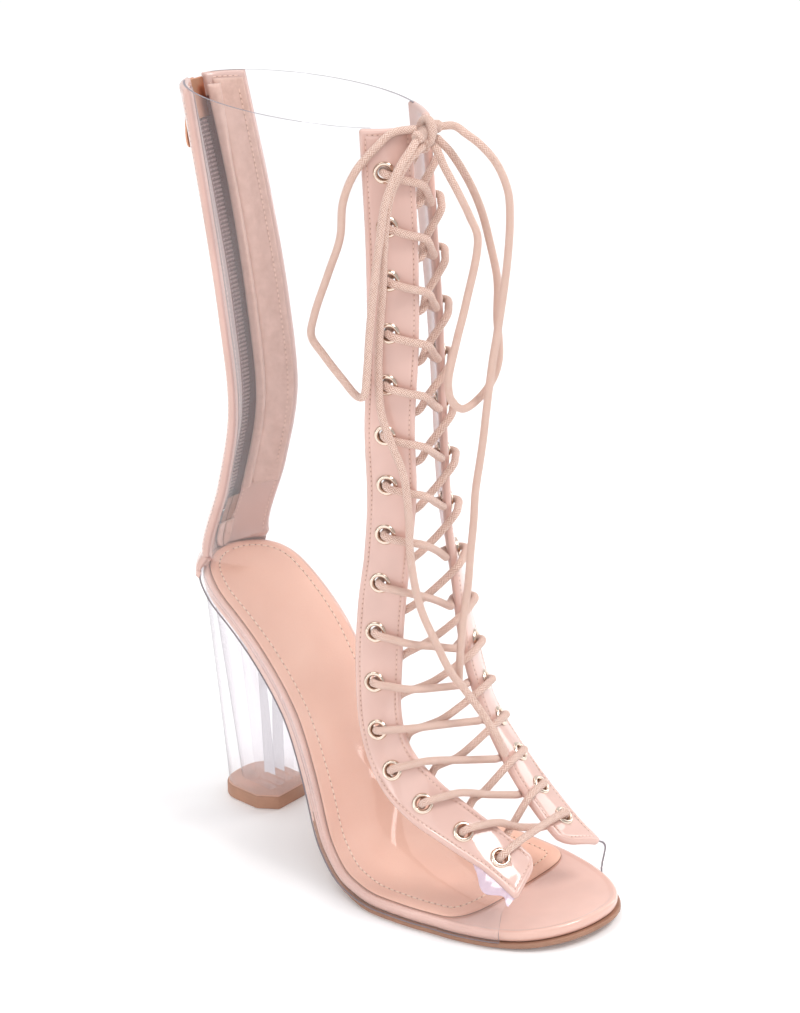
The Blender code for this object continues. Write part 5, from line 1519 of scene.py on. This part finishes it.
@functools.cache
def eyelet_line(side):
    """Row numbers against length along the line of the eyelets, and the length at the first eyelet."""
    rows = np.linspace(0, COLLAR_ROW, 800)
    line = LAST.shell(side, rows, throat_gap(side, rows) + EYELET_INSET, OVERLAY_BASE)
    lengths = run_along(line)
    return rows, lengths, float(np.interp(EYELETS[side][0][1], rows, lengths))


def tip_line(first, across):
    """Where the flap's slanted tip lies, along the line of the eyelets."""
    return first - TIP_THROAT - (TIP_REAR - TIP_THROAT) * across / EYESTAY_WIDTH


def round_corner(corner, radius):
    """How far a corner of this radius cuts in, at distances from the side."""
    return radius * (1 - np.sqrt(1 - np.clip(1 - corner / radius, 0, 1) ** 2))


def flap_grid(side):
    """Rows, places across and distance from the nearest edge, over the eyestay."""
    across = np.array([*FLAP_SAMPLES, *[EYESTAY_WIDTH - s for s in FLAP_SAMPLES[-2::-1]]])
    beyond = EYESTAY_WIDTH - across
    rows, lengths, first = eyelet_line(side)
    total = lengths[-1] - 0.2
    tip = tip_line(first, across) + round_corner(across, 7.0) + round_corner(beyond, 3.0)
    crown = total - round_corner(across, 1.6) - round_corner(beyond, 1.6)
    ends = np.array(FLAP_SAMPLES[:-1])
    even = np.linspace(0, 1, len(np.arange(12.0, total - tip.max() - 12.0, 2.0)))
    places = []
    for low, length in zip(tip, crown - tip):
        places.append(low + np.concatenate([ends, 12.0 + (length - 24.0) * even, length - ends[::-1]]))
    places = np.array(places).T
    edge = np.minimum(np.minimum(across, beyond)[None, :], np.minimum(places - tip, crown - places))
    row = np.interp(places, lengths, rows)
    return row, np.broadcast_to(across, row.shape), np.clip(edge, 0, None)


def make_eyestay(side):
    """Patent flap with a rolled edge, a stitch groove and its eyelet holes."""
    row, across, edge = flap_grid(side)
    bead = 0.22 * hump(edge, 1.4, 0.55) - 0.22 * hump(edge, STITCH_INSET, 0.3)
    soft = 0.12 * np.sin(row * 5.1) * np.clip(edge / 4, 0, 1)
    name = "eyestay_cover_" + SIDE_NAMES[side]
    along = throat_gap(side, row) + across
    materials = [PATENT, PATENT_INSIDE]
    made = pad_sheet(name, side, row, along, FLAP_LOW, FLAP_HIGH, edge, materials, 1.5, outer=bead + soft)
    cut_holes(made, side)
    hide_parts("eyestay_" + SIDE_NAMES[side])
    make_eyestay_stitches(side)


def cut_holes(piece, side):
    """Cuts the eyelets' holes and keeps the result as the piece's own mesh."""
    points, faces = [], []
    sides = 20
    for number in range(EYELET_COUNT):
        centre, across, up, outward = eyelet_axis(side, number)
        rings = []
        for height in HOLE_REACH:
            angles = [2 * math.pi * i / sides for i in range(sides)]
            turns = [across * math.cos(angle) + up * math.sin(angle) for angle in angles]
            rings.append([centre + outward * height + turn * HOLE_RADIUS for turn in turns])
        faces += end_caps(rings, len(points)) + loft(rings, len(points))
        points += [point for ring in rings for point in ring]
    cutter = add_mesh("cutter", points, faces, [PATENT], body=None, smooth=False)
    cutter.hide_render = True
    modifier = piece.modifiers.new("holes", "BOOLEAN")
    modifier.operation = "DIFFERENCE"
    modifier.object = cutter
    bpy.context.view_layer.update()
    cut = bpy.data.meshes.new_from_object(piece.evaluated_get(bpy.context.evaluated_depsgraph_get()))
    piece.modifiers.clear()
    piece.data = cut
    bpy.data.objects.remove(cutter)


def make_eyestay_stitches(side):
    """One row of stitches round the flap, inside its rolled edge."""
    rows, lengths, first = eyelet_line(side)
    inset = STITCH_INSET
    far = EYESTAY_WIDTH - inset
    crown = lengths[-1] - inset
    across = np.linspace(inset + 1, far, 12)
    tip = tip_line(first, np.array((inset, far))) + inset + 0.4
    lines = [(np.arange(start, crown, 1.5), at) for start, at in ((tip[0] + 2.0, inset), (tip[1] + 1.0, far))]
    lines += [(np.full_like(across, crown), across), (tip_line(first, across) + inset + 0.4, across)]
    paths = []
    for places, at in lines:
        row = np.interp(places, lengths, rows)
        paths.append(LAST.shell(side, row, throat_gap(side, row) + at, FLAP_HIGH - 0.1))
    made = add_stitches("eyestay_stitches_" + SIDE_NAMES[side], paths, 2.1, 1.3, 0.23, THREAD)


def make_film_fold():
    """The clear sheet's pucker below the lateral flap's tip, where the stitching draws it in."""
    rows, lengths, first = eyelet_line(-1)
    columns = np.linspace(0, 1, 60)
    levels = np.linspace(0, 1, 16)[None, :]
    row = np.interp(first - TIP_REAR + 1.5 + 26.0 * columns, lengths, rows)[:, None]
    wide = 1.2 + 6.6 * hump(columns, 0.46, 0.27) + 3.2 * hump(columns, 0.02, 0.1)
    wide = wide * np.clip((1 - columns) * 5, 0, 1)
    along = throat_gap(-1, row) + EYESTAY_WIDTH - 1.2 + wide[:, None] * levels
    wave = np.sin(columns * 19.0 + 0.6) * 0.45 + np.sin(columns * 9.0 + 2.0) * 0.6
    lift = 1.6 + levels * (1.0 + 0.9 * wave[:, None])
    points = sheets(-1, row, along, lift, lift - 0.35)
    faces = grid_faces(*lift.shape, 0, flip=True) + grid_faces(*lift.shape, lift.size)
    made = add_mesh("film_pucker", points, faces, [FILM_FOLD])


# ---------------------------------------------------------------- eyelets and lacing


def make_eyelets():
    """Rolled rings with a rounded flange, a barrel and a small back plate."""
    top = FLAP_HIGH
    profile = [
        (EYELET_FLANGE + 0.05, top + 0.02), (EYELET_FLANGE - 0.05, top + 0.3),
        (EYELET_FLANGE - 0.45, top + 0.75), (EYELET_FLANGE - 1.0, top + 0.98),
        (EYELET_FLANGE - 1.5, top + 0.85), (2.75, top + 0.35), (2.58, top - 0.5), (2.55, 0.2), (2.6, -0.5),
        (3.0, -0.85), (3.7, -0.8), (3.9, -0.45), (3.2, -0.4), (3.05, 0.4),
        (3.05, top - 0.1),
    ]
    angles = np.linspace(0, 2 * math.pi, 28, endpoint=False)
    for side in (-1, 1):
        points, faces = [], []
        for number in range(EYELET_COUNT):
            centre, across, up, outward = eyelet_axis(side, number)
            ring = np.outer(np.cos(angles), across) + np.outer(np.sin(angles), up)
            rings = [centre + outward * height + ring * radius for radius, height in profile]
            faces += closed_rings(rings, len(points))
            points += [point for ring in rings for point in ring]
        made = add_mesh("eyelets_" + SIDE_NAMES[side], points, faces, [GOLD], sharp=60)
        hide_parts(*[f"eyelet_{SIDE_NAMES[side]}_{number + 1:02d}" for number in range(EYELET_COUNT)])


def taut_strand(side, number):
    """From below an eyelet, out under its flap, across the throat and over the other flap's next eyelet."""
    lift = 1.72 * side
    low, high, slip = (0.5, 0.8, 1.0) if side > 0 else (3.0, 6.0, 7.2)
    near_toe = max(0.0, 1 - number / 7)
    fall = -6.5 if side > 0 else -3.0
    _, _, upward, _ = eyelet_axis(side, number)
    return [
        beside_eyelet(side, number, 0, STRAND_BELOW),
        beside_eyelet(side, number, 6, STRAND_BELOW, up=low),
        beside_eyelet(side, number, EYELET_INSET + 0.5, STRAND_UNDER, up=high),
        beside_eyelet(side, number, EYELET_INSET + 3.8, STRAND_UNDER + 1.2 + 0.4 * lift, up=slip),
        throat_middle(number, 1.2 - 4.0 * near_toe + lift) + upward * (1.0 if side < 0 else -3.6),
        beside_eyelet(-side, number + 1, EYELET_INSET + 1.0, STRAND_OVER - 0.3, up=fall),
        beside_eyelet(-side, number + 1, 6.5, STRAND_OVER + 0.5, up=fall * 0.5),
        beside_eyelet(-side, number + 1, 1.8, STRAND_OVER + 1.1, up=fall * 0.12),
        beside_eyelet(-side, number + 1, 0, 4.6),
    ]


def make_lacing():
    chains = {}
    for start in (-1, 1):
        points, side = [], start
        for number in range(EYELET_COUNT - 1):
            points += taut_strand(side, number)
            side = -side
        last = EYELET_COUNT - 1
        points.append(beside_eyelet(side, last, 0, STRAND_BELOW))
        points.append(beside_eyelet(side, last, 6, STRAND_BELOW))
        points.append(beside_eyelet(side, last, EYELET_INSET + 0.5, STRAND_UNDER, up=2.0))
        chains[start] = [*points, *KNOT_TAILS[side]]
    bar = [beside_eyelet(side, 0, inward, height) for side, inward, height in BAR]
    route = smooth_path([*chains[-1][::-1], *bar, *chains[1]], 1.0)
    lacing = tube_mesh("lacing_run", route, LACE_RADIUS, 12, LACE)
    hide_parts("lacing")


# ---------------------------------------------------------------- back strips and zip

STRIP_LOW = -1.1
STRIP_HIGH = OVERLAY_BASE + STRIP_THICKNESS
STRIP_SAMPLES = (
    0.0, 0.015, 0.04, 0.07, 0.1, 0.13, 0.17, 0.23, 0.32, 0.42, 0.52, 0.62, 0.72, 0.8, 0.86, 0.91, 0.95,
    0.98, 1.0,
)
STRIP_STITCH_INSET = 2.4
LINING_ROW = 7.78
LINING_TOP = COLLAR_ROW - 0.06


def strip_width(row):
    up = np.clip((np.asarray(row, float) - HEEL_ROW) / (COLLAR_ROW - HEEL_ROW), 0, 1)
    return STRIP_WIDTH_LOW + (STRIP_WIDTH_TOP - STRIP_WIDTH_LOW) * up


@functools.cache
def edge_rows(side):
    """Row numbers against the distance from the heel's tip along the sole's edge."""
    rows = np.linspace(HEEL_ROW - 1e-6, 5.0, 300)
    return run_along([section(float(row))["foot"][side] for row in rows]), rows


def slit_half(row):
    """Half the gap that the strips leave for the zip, closing to a point below it."""
    return ZIP_HALF * np.clip((np.asarray(row, float) - ZIP_LOW_ROW) / 0.12, 0, 1) ** 0.5


def strip_place(side, share, level):
    """Row and along at a share of the width (0 front, 1 zip) and a level (0 collar, 1 heel, 2 sole)."""
    share, level = np.broadcast_arrays(np.asarray(share, float), np.asarray(level, float))
    row = COLLAR_ROW - (COLLAR_ROW - HEEL_ROW) * np.clip(level, 0, 1)
    width = strip_width(row)
    back = slit_half(row) + (width - slit_half(row)) * (1 - share)
    distance, rows = edge_rows(side)
    low_row = np.interp((1 - share) * STRIP_WIDTH_LOW, distance, rows)
    fall = np.clip(level - 1, 0, 1)
    row = row + (low_row - HEEL_ROW) * fall
    back = back * (1 - fall)
    return row, LAST.reach(side, row) - back


def make_strips():
    """Patent halves of the back strip, tucked down beside the footbed, with their linings and stitches."""
    shares = np.array(STRIP_SAMPLES)
    levels = [0.0, 0.0015, 0.004, 0.008, *np.linspace(0.014, 1, 110), *np.linspace(1.06, 2, 16)]
    levels = np.array(levels)
    level_count = len(levels)
    middle, half = (STRIP_LOW + STRIP_HIGH) / 2, (STRIP_HIGH - STRIP_LOW) / 2
    for side in (-1, 1):
        row, along = strip_place(side, shares[None, :], levels[:, None])
        width = strip_width(row)
        zip_edge = (1 - shares) * width + np.where(row > ZIP_LOW_ROW, 0.0, 9.0)
        edge = np.minimum(np.minimum(shares * width, zip_edge), levels[:, None] * 205.0)
        for depth in (1.0, 2.2, 3.4, STRIP_SKIRT):
            row = np.vstack([row, row[level_count - 1]])
            along = np.vstack([along, LAST.reach(side, row[-1]) + depth])
            edge = np.vstack([edge, np.minimum(shares * STRIP_WIDTH_LOW, STRIP_SKIRT - depth)])
        sole = np.zeros_like(edge)
        sole[level_count - 6 : level_count] = np.linspace(0.2, 1, 6)[:, None]
        sole[level_count:] = 1
        swell = rounded(edge, half, 1.3)
        bead = 0.2 * hump(edge, 1.3, 0.5) - 0.2 * hump(edge, STRIP_STITCH_INSET, 0.3)
        low = (middle - swell) * (1 - sole) + (OVERLAY_BASE - 0.1) * sole
        high = np.maximum(middle + swell + bead, low + 0.05)
        points = sheets(side, row, along, high, low)
        count = row.size
        faces = grid_faces(*row.shape, 0, flip=side > 0)
        which = [0] * len(faces) + [1] * len(faces)
        faces += grid_faces(*row.shape, count, flip=side < 0)
        border = grid_border(*row.shape)
        for a, b in zip(border, [*border[1:], border[0]]):
            rim = (a, b, b + count, a + count)
            faces.append(rim if side < 0 else rim[::-1])
            which.append(0)
        name = "back_strip_cover_" + SIDE_NAMES[side]
        made = add_mesh(name, points, faces, [PATENT, PATENT_INSIDE], which=which, sharp=75)
        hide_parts("back_strip_" + SIDE_NAMES[side])
        make_strip_stitches(side)
        make_lining(side)
        make_lining_stitches(side)


def make_strip_stitches(side):
    paths = []
    down = (COLLAR_ROW - ZIP_LOW_ROW) / (COLLAR_ROW - HEEL_ROW)
    row = back_row(STRIP_STITCH_INSET)
    across = np.linspace(7, STRIP_WIDTH_TOP - 3, 10)
    for height in (STRIP_HIGH - 0.05, STRIP_LOW + 0.05):
        for levels, back in (
            (np.linspace(0.014, 0.99, 240), lambda at: strip_width(at) - STRIP_STITCH_INSET),
            (np.linspace(0.014, down, 240), lambda at: slit_half(at) + 2.0),
        ):
            rows = COLLAR_ROW - (COLLAR_ROW - HEEL_ROW) * levels
            paths.append(LAST.shell(side, rows, LAST.reach(side, rows) - back(rows), height))
        rows = np.full_like(across, row)
        paths.append(LAST.shell(side, rows, LAST.reach(side, rows) - across, height))
    made = add_stitches("back_strip_stitches_" + SIDE_NAMES[side], paths, 2.3, 1.5, 0.23, THREAD)


def pad_sheet(name, side, row, along, low, high, edge, materials, roll, flip=False, outer=0.0, inner=0.0):
    """A soft panel between two heights, closed by rounded edges, with a relief on each face."""
    middle, half = (low + high) / 2, (high - low) / 2
    swell = rounded(edge, half, roll)
    points = sheets(side, row, along, middle + swell + outer, middle - swell + inner)
    rows, columns = row.shape
    count = rows * columns
    weld = np.arange(2 * count)
    for v in grid_border(rows, columns):
        weld[v + count] = v
    faces = grid_faces(rows, columns, 0, flip=(side < 0) != flip)
    which = [0] * len(faces) + [len(materials) - 1] * len(faces)
    faces += grid_faces(rows, columns, count, flip=(side > 0) != flip)
    faces = [tuple(weld[v] for v in face) for face in faces]
    points, faces = without_spares(points, faces)
    return add_mesh(name, points, faces, materials, which=which)


def make_lining(side):
    """Suede panel on the inside of a back strip, with a rounded lower corner beside the zip."""
    columns = (0.0, 0.01, 0.03, 0.06, 0.1, 0.16, 0.25, 0.4, 0.55, 0.7, 0.8, 0.88, 0.94, 0.97, 0.99, 1.0)
    columns = np.array(columns)
    bottom = LINING_ROW + 0.16 * np.clip((columns - 0.72) / 0.28, 0, 1) ** 2.2
    levels = [0.0, 0.003, 0.008, 0.015, *np.linspace(0.03, 0.97, 80), 0.985, 0.992, 0.997, 1.0]
    levels = np.array(levels)[:, None]
    row = LINING_TOP + (bottom - LINING_TOP) * levels
    near_zip = slit_half(row) + 3.2
    back = near_zip + (strip_width(row) - 1.3 - near_zip) * (1 - columns)
    edge = np.minimum(np.minimum(columns, 1 - columns) * 14.0, np.minimum(levels, 1 - levels) * 180)
    relief = -0.6 * hump((1 - columns) * 14, 2.5, 2.0) * np.clip(edge / 1.5, 0, 1)
    relief = relief + 0.35 * np.sin(levels * 31.0) * np.clip(levels * 2 - 0.9, 0, 1) * np.clip(edge / 3, 0, 1)
    along = LAST.reach(side, row) - back
    heights = STRIP_LOW - 0.75, STRIP_LOW + 0.1
    # The lateral panel takes the darker suede: painted shade.
    suede = [LINING if side > 0 else LINING_PAINTED_SHADE]
    name = "lining_" + SIDE_NAMES[side]
    made = pad_sheet(name, side, row, along, *heights, edge, suede, 0.7, flip=True, inner=relief)


def make_lining_stitches(side):
    row = LINING_TOP + (LINING_ROW - LINING_TOP) * np.linspace(0.02, 0.985, 240)
    path = LAST.shell(side, row, LAST.reach(side, row) - strip_width(row) + 4.0, STRIP_LOW - 0.78)
    made = add_stitches("lining_stitches_" + SIDE_NAMES[side], [path], 2.3, 1.5, 0.26, THREAD)


def make_zip_end():
    """Rounded tan pocket over the foot of the zip, with a dark patch where the tapes run into it: painted
    shade for the opening there.
    """
    levels = np.linspace(0, 1, 24)[:, None]
    share = np.linspace(-1, 1, 15)[7:]
    for name, top, foot, half, low, high, material in (
        # A dark sheet over the opening: painted shade.
        ("zip_foot_shadow", 0.38, -0.02, 4.2, -2.0, -1.75, SEAM_AND_SHADE),
        ("zip_foot_pocket", 0.06, -0.36, 5.2, -2.7, -1.6, LINING),
    ):
        for side in (-1, 1):
            rows = ZIP_LOW_ROW + top + (foot - top) * levels
            width = half * np.sqrt(np.clip(1 - np.clip((levels - 0.45) / 0.55, 0, 1) ** 2, 0, 1))
            back = 0.02 + width * share
            edge = np.minimum((1 - share) * half, np.minimum(levels, 1 - levels) * 24)
            rows = np.broadcast_to(rows, back.shape)
            along = LAST.reach(side, rows) - back
            piece_name = name + "_" + SIDE_NAMES[side]
            made = pad_sheet(piece_name, side, rows, along, low, high, edge, [material], 0.6)


def make_guard():
    """Soft folded lip of the lining that stands in front of the zip's inner side."""
    columns = np.array([0.0, 0.04, 0.1, 0.2, 0.35, 0.5, 0.65, 0.8, 0.9, 0.96, 1.0])
    levels = np.concatenate([[0.0, 0.003, 0.008], np.linspace(0.02, 0.98, 90), [0.99, 0.996, 1.0]])[:, None]
    row = COLLAR_ROW - 0.1 + (LINING_ROW + 0.02 - COLLAR_ROW + 0.1) * levels
    lean = 3.3 + 0.4 * np.sin(levels * 9.0) - 0.5 * np.clip(levels * 1.6 - 0.9, 0, 1)
    wide = 8.6 + 2.2 * np.clip(1 - levels * 6, 0, 1)
    back = wide - (wide - lean) * columns
    row = np.broadcast_to(row, back.shape)
    edge = np.minimum(np.minimum(columns, 1 - columns) * 5.2, np.minimum(levels, 1 - levels) * 170)
    relief = -1.4 * np.sin(math.pi * columns**0.8) * np.clip(edge, 0, 1)
    along = LAST.reach(1, row) - back
    heights = STRIP_LOW - 2.1, STRIP_LOW - 0.6
    made = pad_sheet("zip_guard", 1, row, along, *heights, edge, [LINING], 0.8, flip=True, inner=relief)


def zip_places():
    """Rows down the zip's back line, and the distance along it at each."""
    rows = np.linspace(back_row(ZIP_TOP_DROP), ZIP_LOW_ROW + 0.1, 160)
    return rows, run_along([back_frame(float(row))[0] for row in rows])


def make_zip():
    """Folded tapes, coil teeth and the chain stitches that hold the coil."""
    rows, run = zip_places()

    def frame_down(at):
        return back_frame(float(np.interp(at, run, rows)))

    points, faces = [], []
    section_of_tape = (
        (0.1, 1.7), (3.3, 1.7), (3.9, -0.9), (4.1, -1.7), (7.5, -1.7), (7.65, -1.45), (7.5, -1.2),
        (4.6, -1.2), (4.3, 1.9), (3.9, 2.3), (0.1, 2.3),
    )
    for half in (-1, 1):
        rings = []
        for at in np.arange(0, run[-1], 2.5):
            point, across, _, outward = frame_down(at)
            rings.append([point + across * half * x + outward * h for x, h in section_of_tape])
        faces += loft(rings, len(points), flip=half < 0) + end_caps(rings, len(points), flip=True)
        points += [p for ring in rings for p in ring]
    tape = add_mesh("zip_tapes", points, faces, [MAUVE], sharp=40)
    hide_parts("zip")

    points, faces = [], []
    for k, at in enumerate(np.arange(0.4, run[-1] - 0.5, 0.72)):
        point, across, up, outward = frame_down(at)
        sign = 1 if k % 2 else -1
        start = point + across * sign * 2.5 + outward * 2.75
        end = point - across * sign * 0.7 + outward * 2.85 + up * 0.15
        capsule(points, faces, start, end, 0.36)
    coil = add_mesh("zip_coil_teeth", points, faces, [COIL])

    points, faces = [], []
    for middle in (-2.6, -0.95, 0.95, 2.6):
        for at in np.arange(0.6, run[-1] - 2, 1.9):
            point, across, up, outward = frame_down(at)
            for shift in (-1, 1):
                start = point + across * (middle + shift * 0.65) + outward * 1.6 + up * 0.5
                end = point + across * middle + outward * 1.5 - up * 0.45
                capsule(points, faces, start, end, 0.36, 5)
    chain = add_mesh("zip_tape_chain", points, faces, [ZIP_CHAIN])


def slab(outline, low, high, frame, bevel, rings=4):
    """Rings of a plate with rounded edges: (across, up) outline, between two outward heights."""
    origin, across, up, outward = frame
    outline = np.asarray(outline, float)
    levels = []
    for a in np.linspace(0, math.pi / 2, rings + 1):
        levels.append((bevel * (1 - math.sin(a)), low + bevel * (1 - math.cos(a))))
    levels += [(inset, high - (height - low)) for inset, height in levels[::-1]]
    run = unit(np.roll(outline, -1, axis=0) - np.roll(outline, 1, axis=0))
    inward = np.stack([-run[:, 1], run[:, 0]], axis=1)
    if np.sum(inward * (outline.mean(axis=0) - outline)) < 0:
        inward = -inward
    return [
        [origin + across * x + up * y + outward * height for x, y in outline + inward * inset]
        for inset, height in levels
    ]


def add_slabs(name, slabs, material):
    """One piece from several plates."""
    points, faces = [], []
    for rings in slabs:
        add_body(points, faces, rings)
    return add_mesh(name, points, faces, [material], sharp=50)


def round_box(half_width, low, high, corner):
    """Outline of a plate with rounded corners."""
    points = []
    right, top, bottom = half_width - corner, high - corner, low + corner
    for quarter, (cx, cy) in enumerate(((right, top), (-right, top), (-right, bottom), (right, bottom))):
        for a in np.linspace(quarter * math.pi / 2, (quarter + 1) * math.pi / 2, 6):
            points.append((cx + corner * math.cos(a), cy + corner * math.sin(a)))
    return points


def make_slider():
    """Slider with its two plates, neck, lips and the bridge that holds the tab."""
    frame_at = slider_frame()
    inside = -(TAPE_THICKNESS + TEETH_HEIGHT + 2 * FIT_GAP)
    half = SLIDER_HEIGHT / 2
    right = [
        (2.0, -half), (2.5, -half + 1.0), (2.7, -2.5), (3.5, 1.0), (3.6, half - 1.6), (3.2, half - 0.5),
        (2.2, half),
    ]
    outer = [*right[4:], *[(-x, y) for x, y in right[::-1]], *right[:4]]
    slabs = [
        slab(outer, 0.05, SLIDER_PLATE, frame_at, 0.45),
        slab(round_box(4.3, -half - 5.0, half, 0.9), inside - SLIDER_PLATE, inside - 0.05, frame_at, 0.35),
        slab(round_box(1.3, half - SLIDER_NECK, half - 0.4, 0.6), inside - 0.4, 0.4, frame_at, 0.15),
    ]
    edge = ((3.55, half - 1.8), (3.55, 1.0), (2.75, -2.5), (2.1, -2.4), (2.9, 1.0), (2.9, half - 1.8))
    for sign in (-1, 1):
        lip = [(sign * x, y) for x, y in edge]
        slabs.append(slab(lip, inside, inside + 0.9, frame_at, 0.12, 2))
        slabs.append(slab(lip, -0.8, 0.1, frame_at, 0.12, 2))
    origin, across, up, outward = frame_at
    reach_up = BRIDGE_INSIDE + BRIDGE_THICKNESS
    outside, hollow = (
        [
            (PULL_UP + radius * math.cos(a), PULL_LIFT + SLIDER_PLATE + radius * math.sin(a))
            for a in np.linspace(0, math.pi, 13)
        ]
        for radius in (reach_up, BRIDGE_INSIDE)
    )
    arch_shape = [(PULL_UP + reach_up, 0.9), *outside, (PULL_UP - reach_up, 0.9)]
    arch_shape += [(PULL_UP - BRIDGE_INSIDE, 0.9), *hollow[::-1], (PULL_UP + BRIDGE_INSIDE, 0.9)]
    slabs.append(slab(arch_shape, -BRIDGE_HALF, BRIDGE_HALF, (origin, up, outward, across), 0.2, 2))
    slider = add_slabs("zip_slider_body", slabs, ROSE)
    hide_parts("zip_slider")


def make_pull():
    """The pull tab with a rounded end and a window round the slider's bridge."""
    axis = pull_axis()
    half, thick = PULL_WIDTH / 2, PULL_THICKNESS / 2
    outline, hole = [], []
    for a in np.linspace(0, 2 * math.pi, 48, endpoint=False):
        x, y = math.sin(a), math.cos(a)
        grow = (abs(x) ** 3 + abs(y) ** 3) ** (-1 / 3)
        taper = 0.86 + 0.14 * (0.5 - 0.5 * y)
        low, reach_out = (thick - PULL_LENGTH) / 2, (PULL_LENGTH + thick) / 2
        outline.append((half * x * grow * taper, low + reach_out * y * grow))
        low, reach_out = -(WINDOW_LENGTH + thick) / 2, (WINDOW_LENGTH - thick) / 2
        hole.append((WINDOW_HALF * x * grow, low + reach_out * y * grow))

    def ring(shape, inset, height):
        shape = np.array(shape)
        centre = shape.mean(axis=0)
        span = np.abs(shape - centre).max(axis=0)
        return [axis + (x, height, y) for x, y in centre + (shape - centre) * (1 - inset / span)]

    edge = ((0.0, -thick + 0.3), (0.12, -thick + 0.08), (0.4, -thick))
    rings = [ring(outline, inset, height) for inset, height in edge[::-1]]
    rings += [ring(outline, inset, -height) for inset, height in edge]
    edge = ((-0.4, thick), (-0.1, thick - 0.15), (0.0, thick - 0.4))
    rings += [ring(hole, inset, height) for inset, height in edge]
    rings += [ring(hole, inset, -height) for inset, height in edge[::-1]]
    points = [p for r in rings for p in r]
    pull = add_mesh("zip_pull_tab", points, closed_rings(rings), [ROSE], "pull", sharp=50)
    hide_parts("zip_pull")


# ---------------------------------------------------------------- floor and light


def make_stage():
    """A pale floor that curves up behind the boot."""
    back = Vector((-math.sin(VIEW_AZIMUTH), math.cos(VIEW_AZIMUTH), 0.0))
    across = Vector((back.y, -back.x, 0.0))
    curve = [(1.6 + 1.2 * math.sin(a), 1.2 * (1 - math.cos(a))) for a in np.linspace(0, 1.57, 12)]
    profile = [(-4.0, 0.0), *curve, (2.8, 5.0)]
    points = []
    for side in (-1, 1):
        points += [across * side * 5.0 + back * depth + Vector((0, 0, height)) for depth, height in profile]
    count = len(profile)
    mesh = bpy.data.meshes.new("floor")
    mesh.from_pydata(points, [], [(i, i + 1, count + i + 1, count + i) for i in range(count - 1)])
    mesh.shade_smooth()
    glow = {"Emission_Color": (1.0, 1.0, 1.0, 1.0), "Emission_Strength": 0.06}
    mesh.materials.append(plain("floor_white", (0.96, 0.96, 0.96), 0.6, **glow))
    show("floor", mesh)


def make_lights():
    """Studio lights, each (name, place, height that it looks at, size, power), and a pale world."""
    for name, place, height, size, power in (
        ("key", (0.3, -1.1, 1.9), 0.12, (0.7, 0.7), 19),
        ("fill", (-2.0, -0.9, 1.3), 0.15, (2.2, 2.2), 14.5),
        ("strip_left", (-1.7, 0.5, 0.7), 0.15, (0.25, 1.6), 5),
        ("strip_right", (1.4, -0.5, 0.8), 0.15, (0.3, 1.6), 6),
        ("top", (0.1, 0.7, 2.2), 0.1, (1.6, 1.6), 12.5),
    ):
        data = bpy.data.lights.new(name, "AREA")
        data.shape = "RECTANGLE"
        data.size, data.size_y = size
        data.energy = power
        made = show(name, data)
        made.location = place
        towards = Vector((0, 0, height)) - Vector(place)
        made.rotation_euler = towards.to_track_quat("-Z", "Y").to_euler()
    world = bpy.data.worlds.new("studio")
    world.use_nodes = True
    background = world.node_tree.nodes["Background"]
    background.inputs["Color"].default_value = (0.97, 0.96, 0.98, 1.0)
    background.inputs["Strength"].default_value = 0.6
    bpy.context.scene.world = world
    bpy.context.scene.view_settings.view_transform = "Standard"


make_camera()
make_stage()
make_lights()
make_knot()
make_cords()
make_sole()
make_heel()
make_lift()
make_film()
make_film_fold()
for side in (-1, 1):
    make_eyestay(side)
make_eyelets()
make_lacing()
make_strips()
make_guard()
make_zip()
make_zip_end()
make_slider()
make_pull()
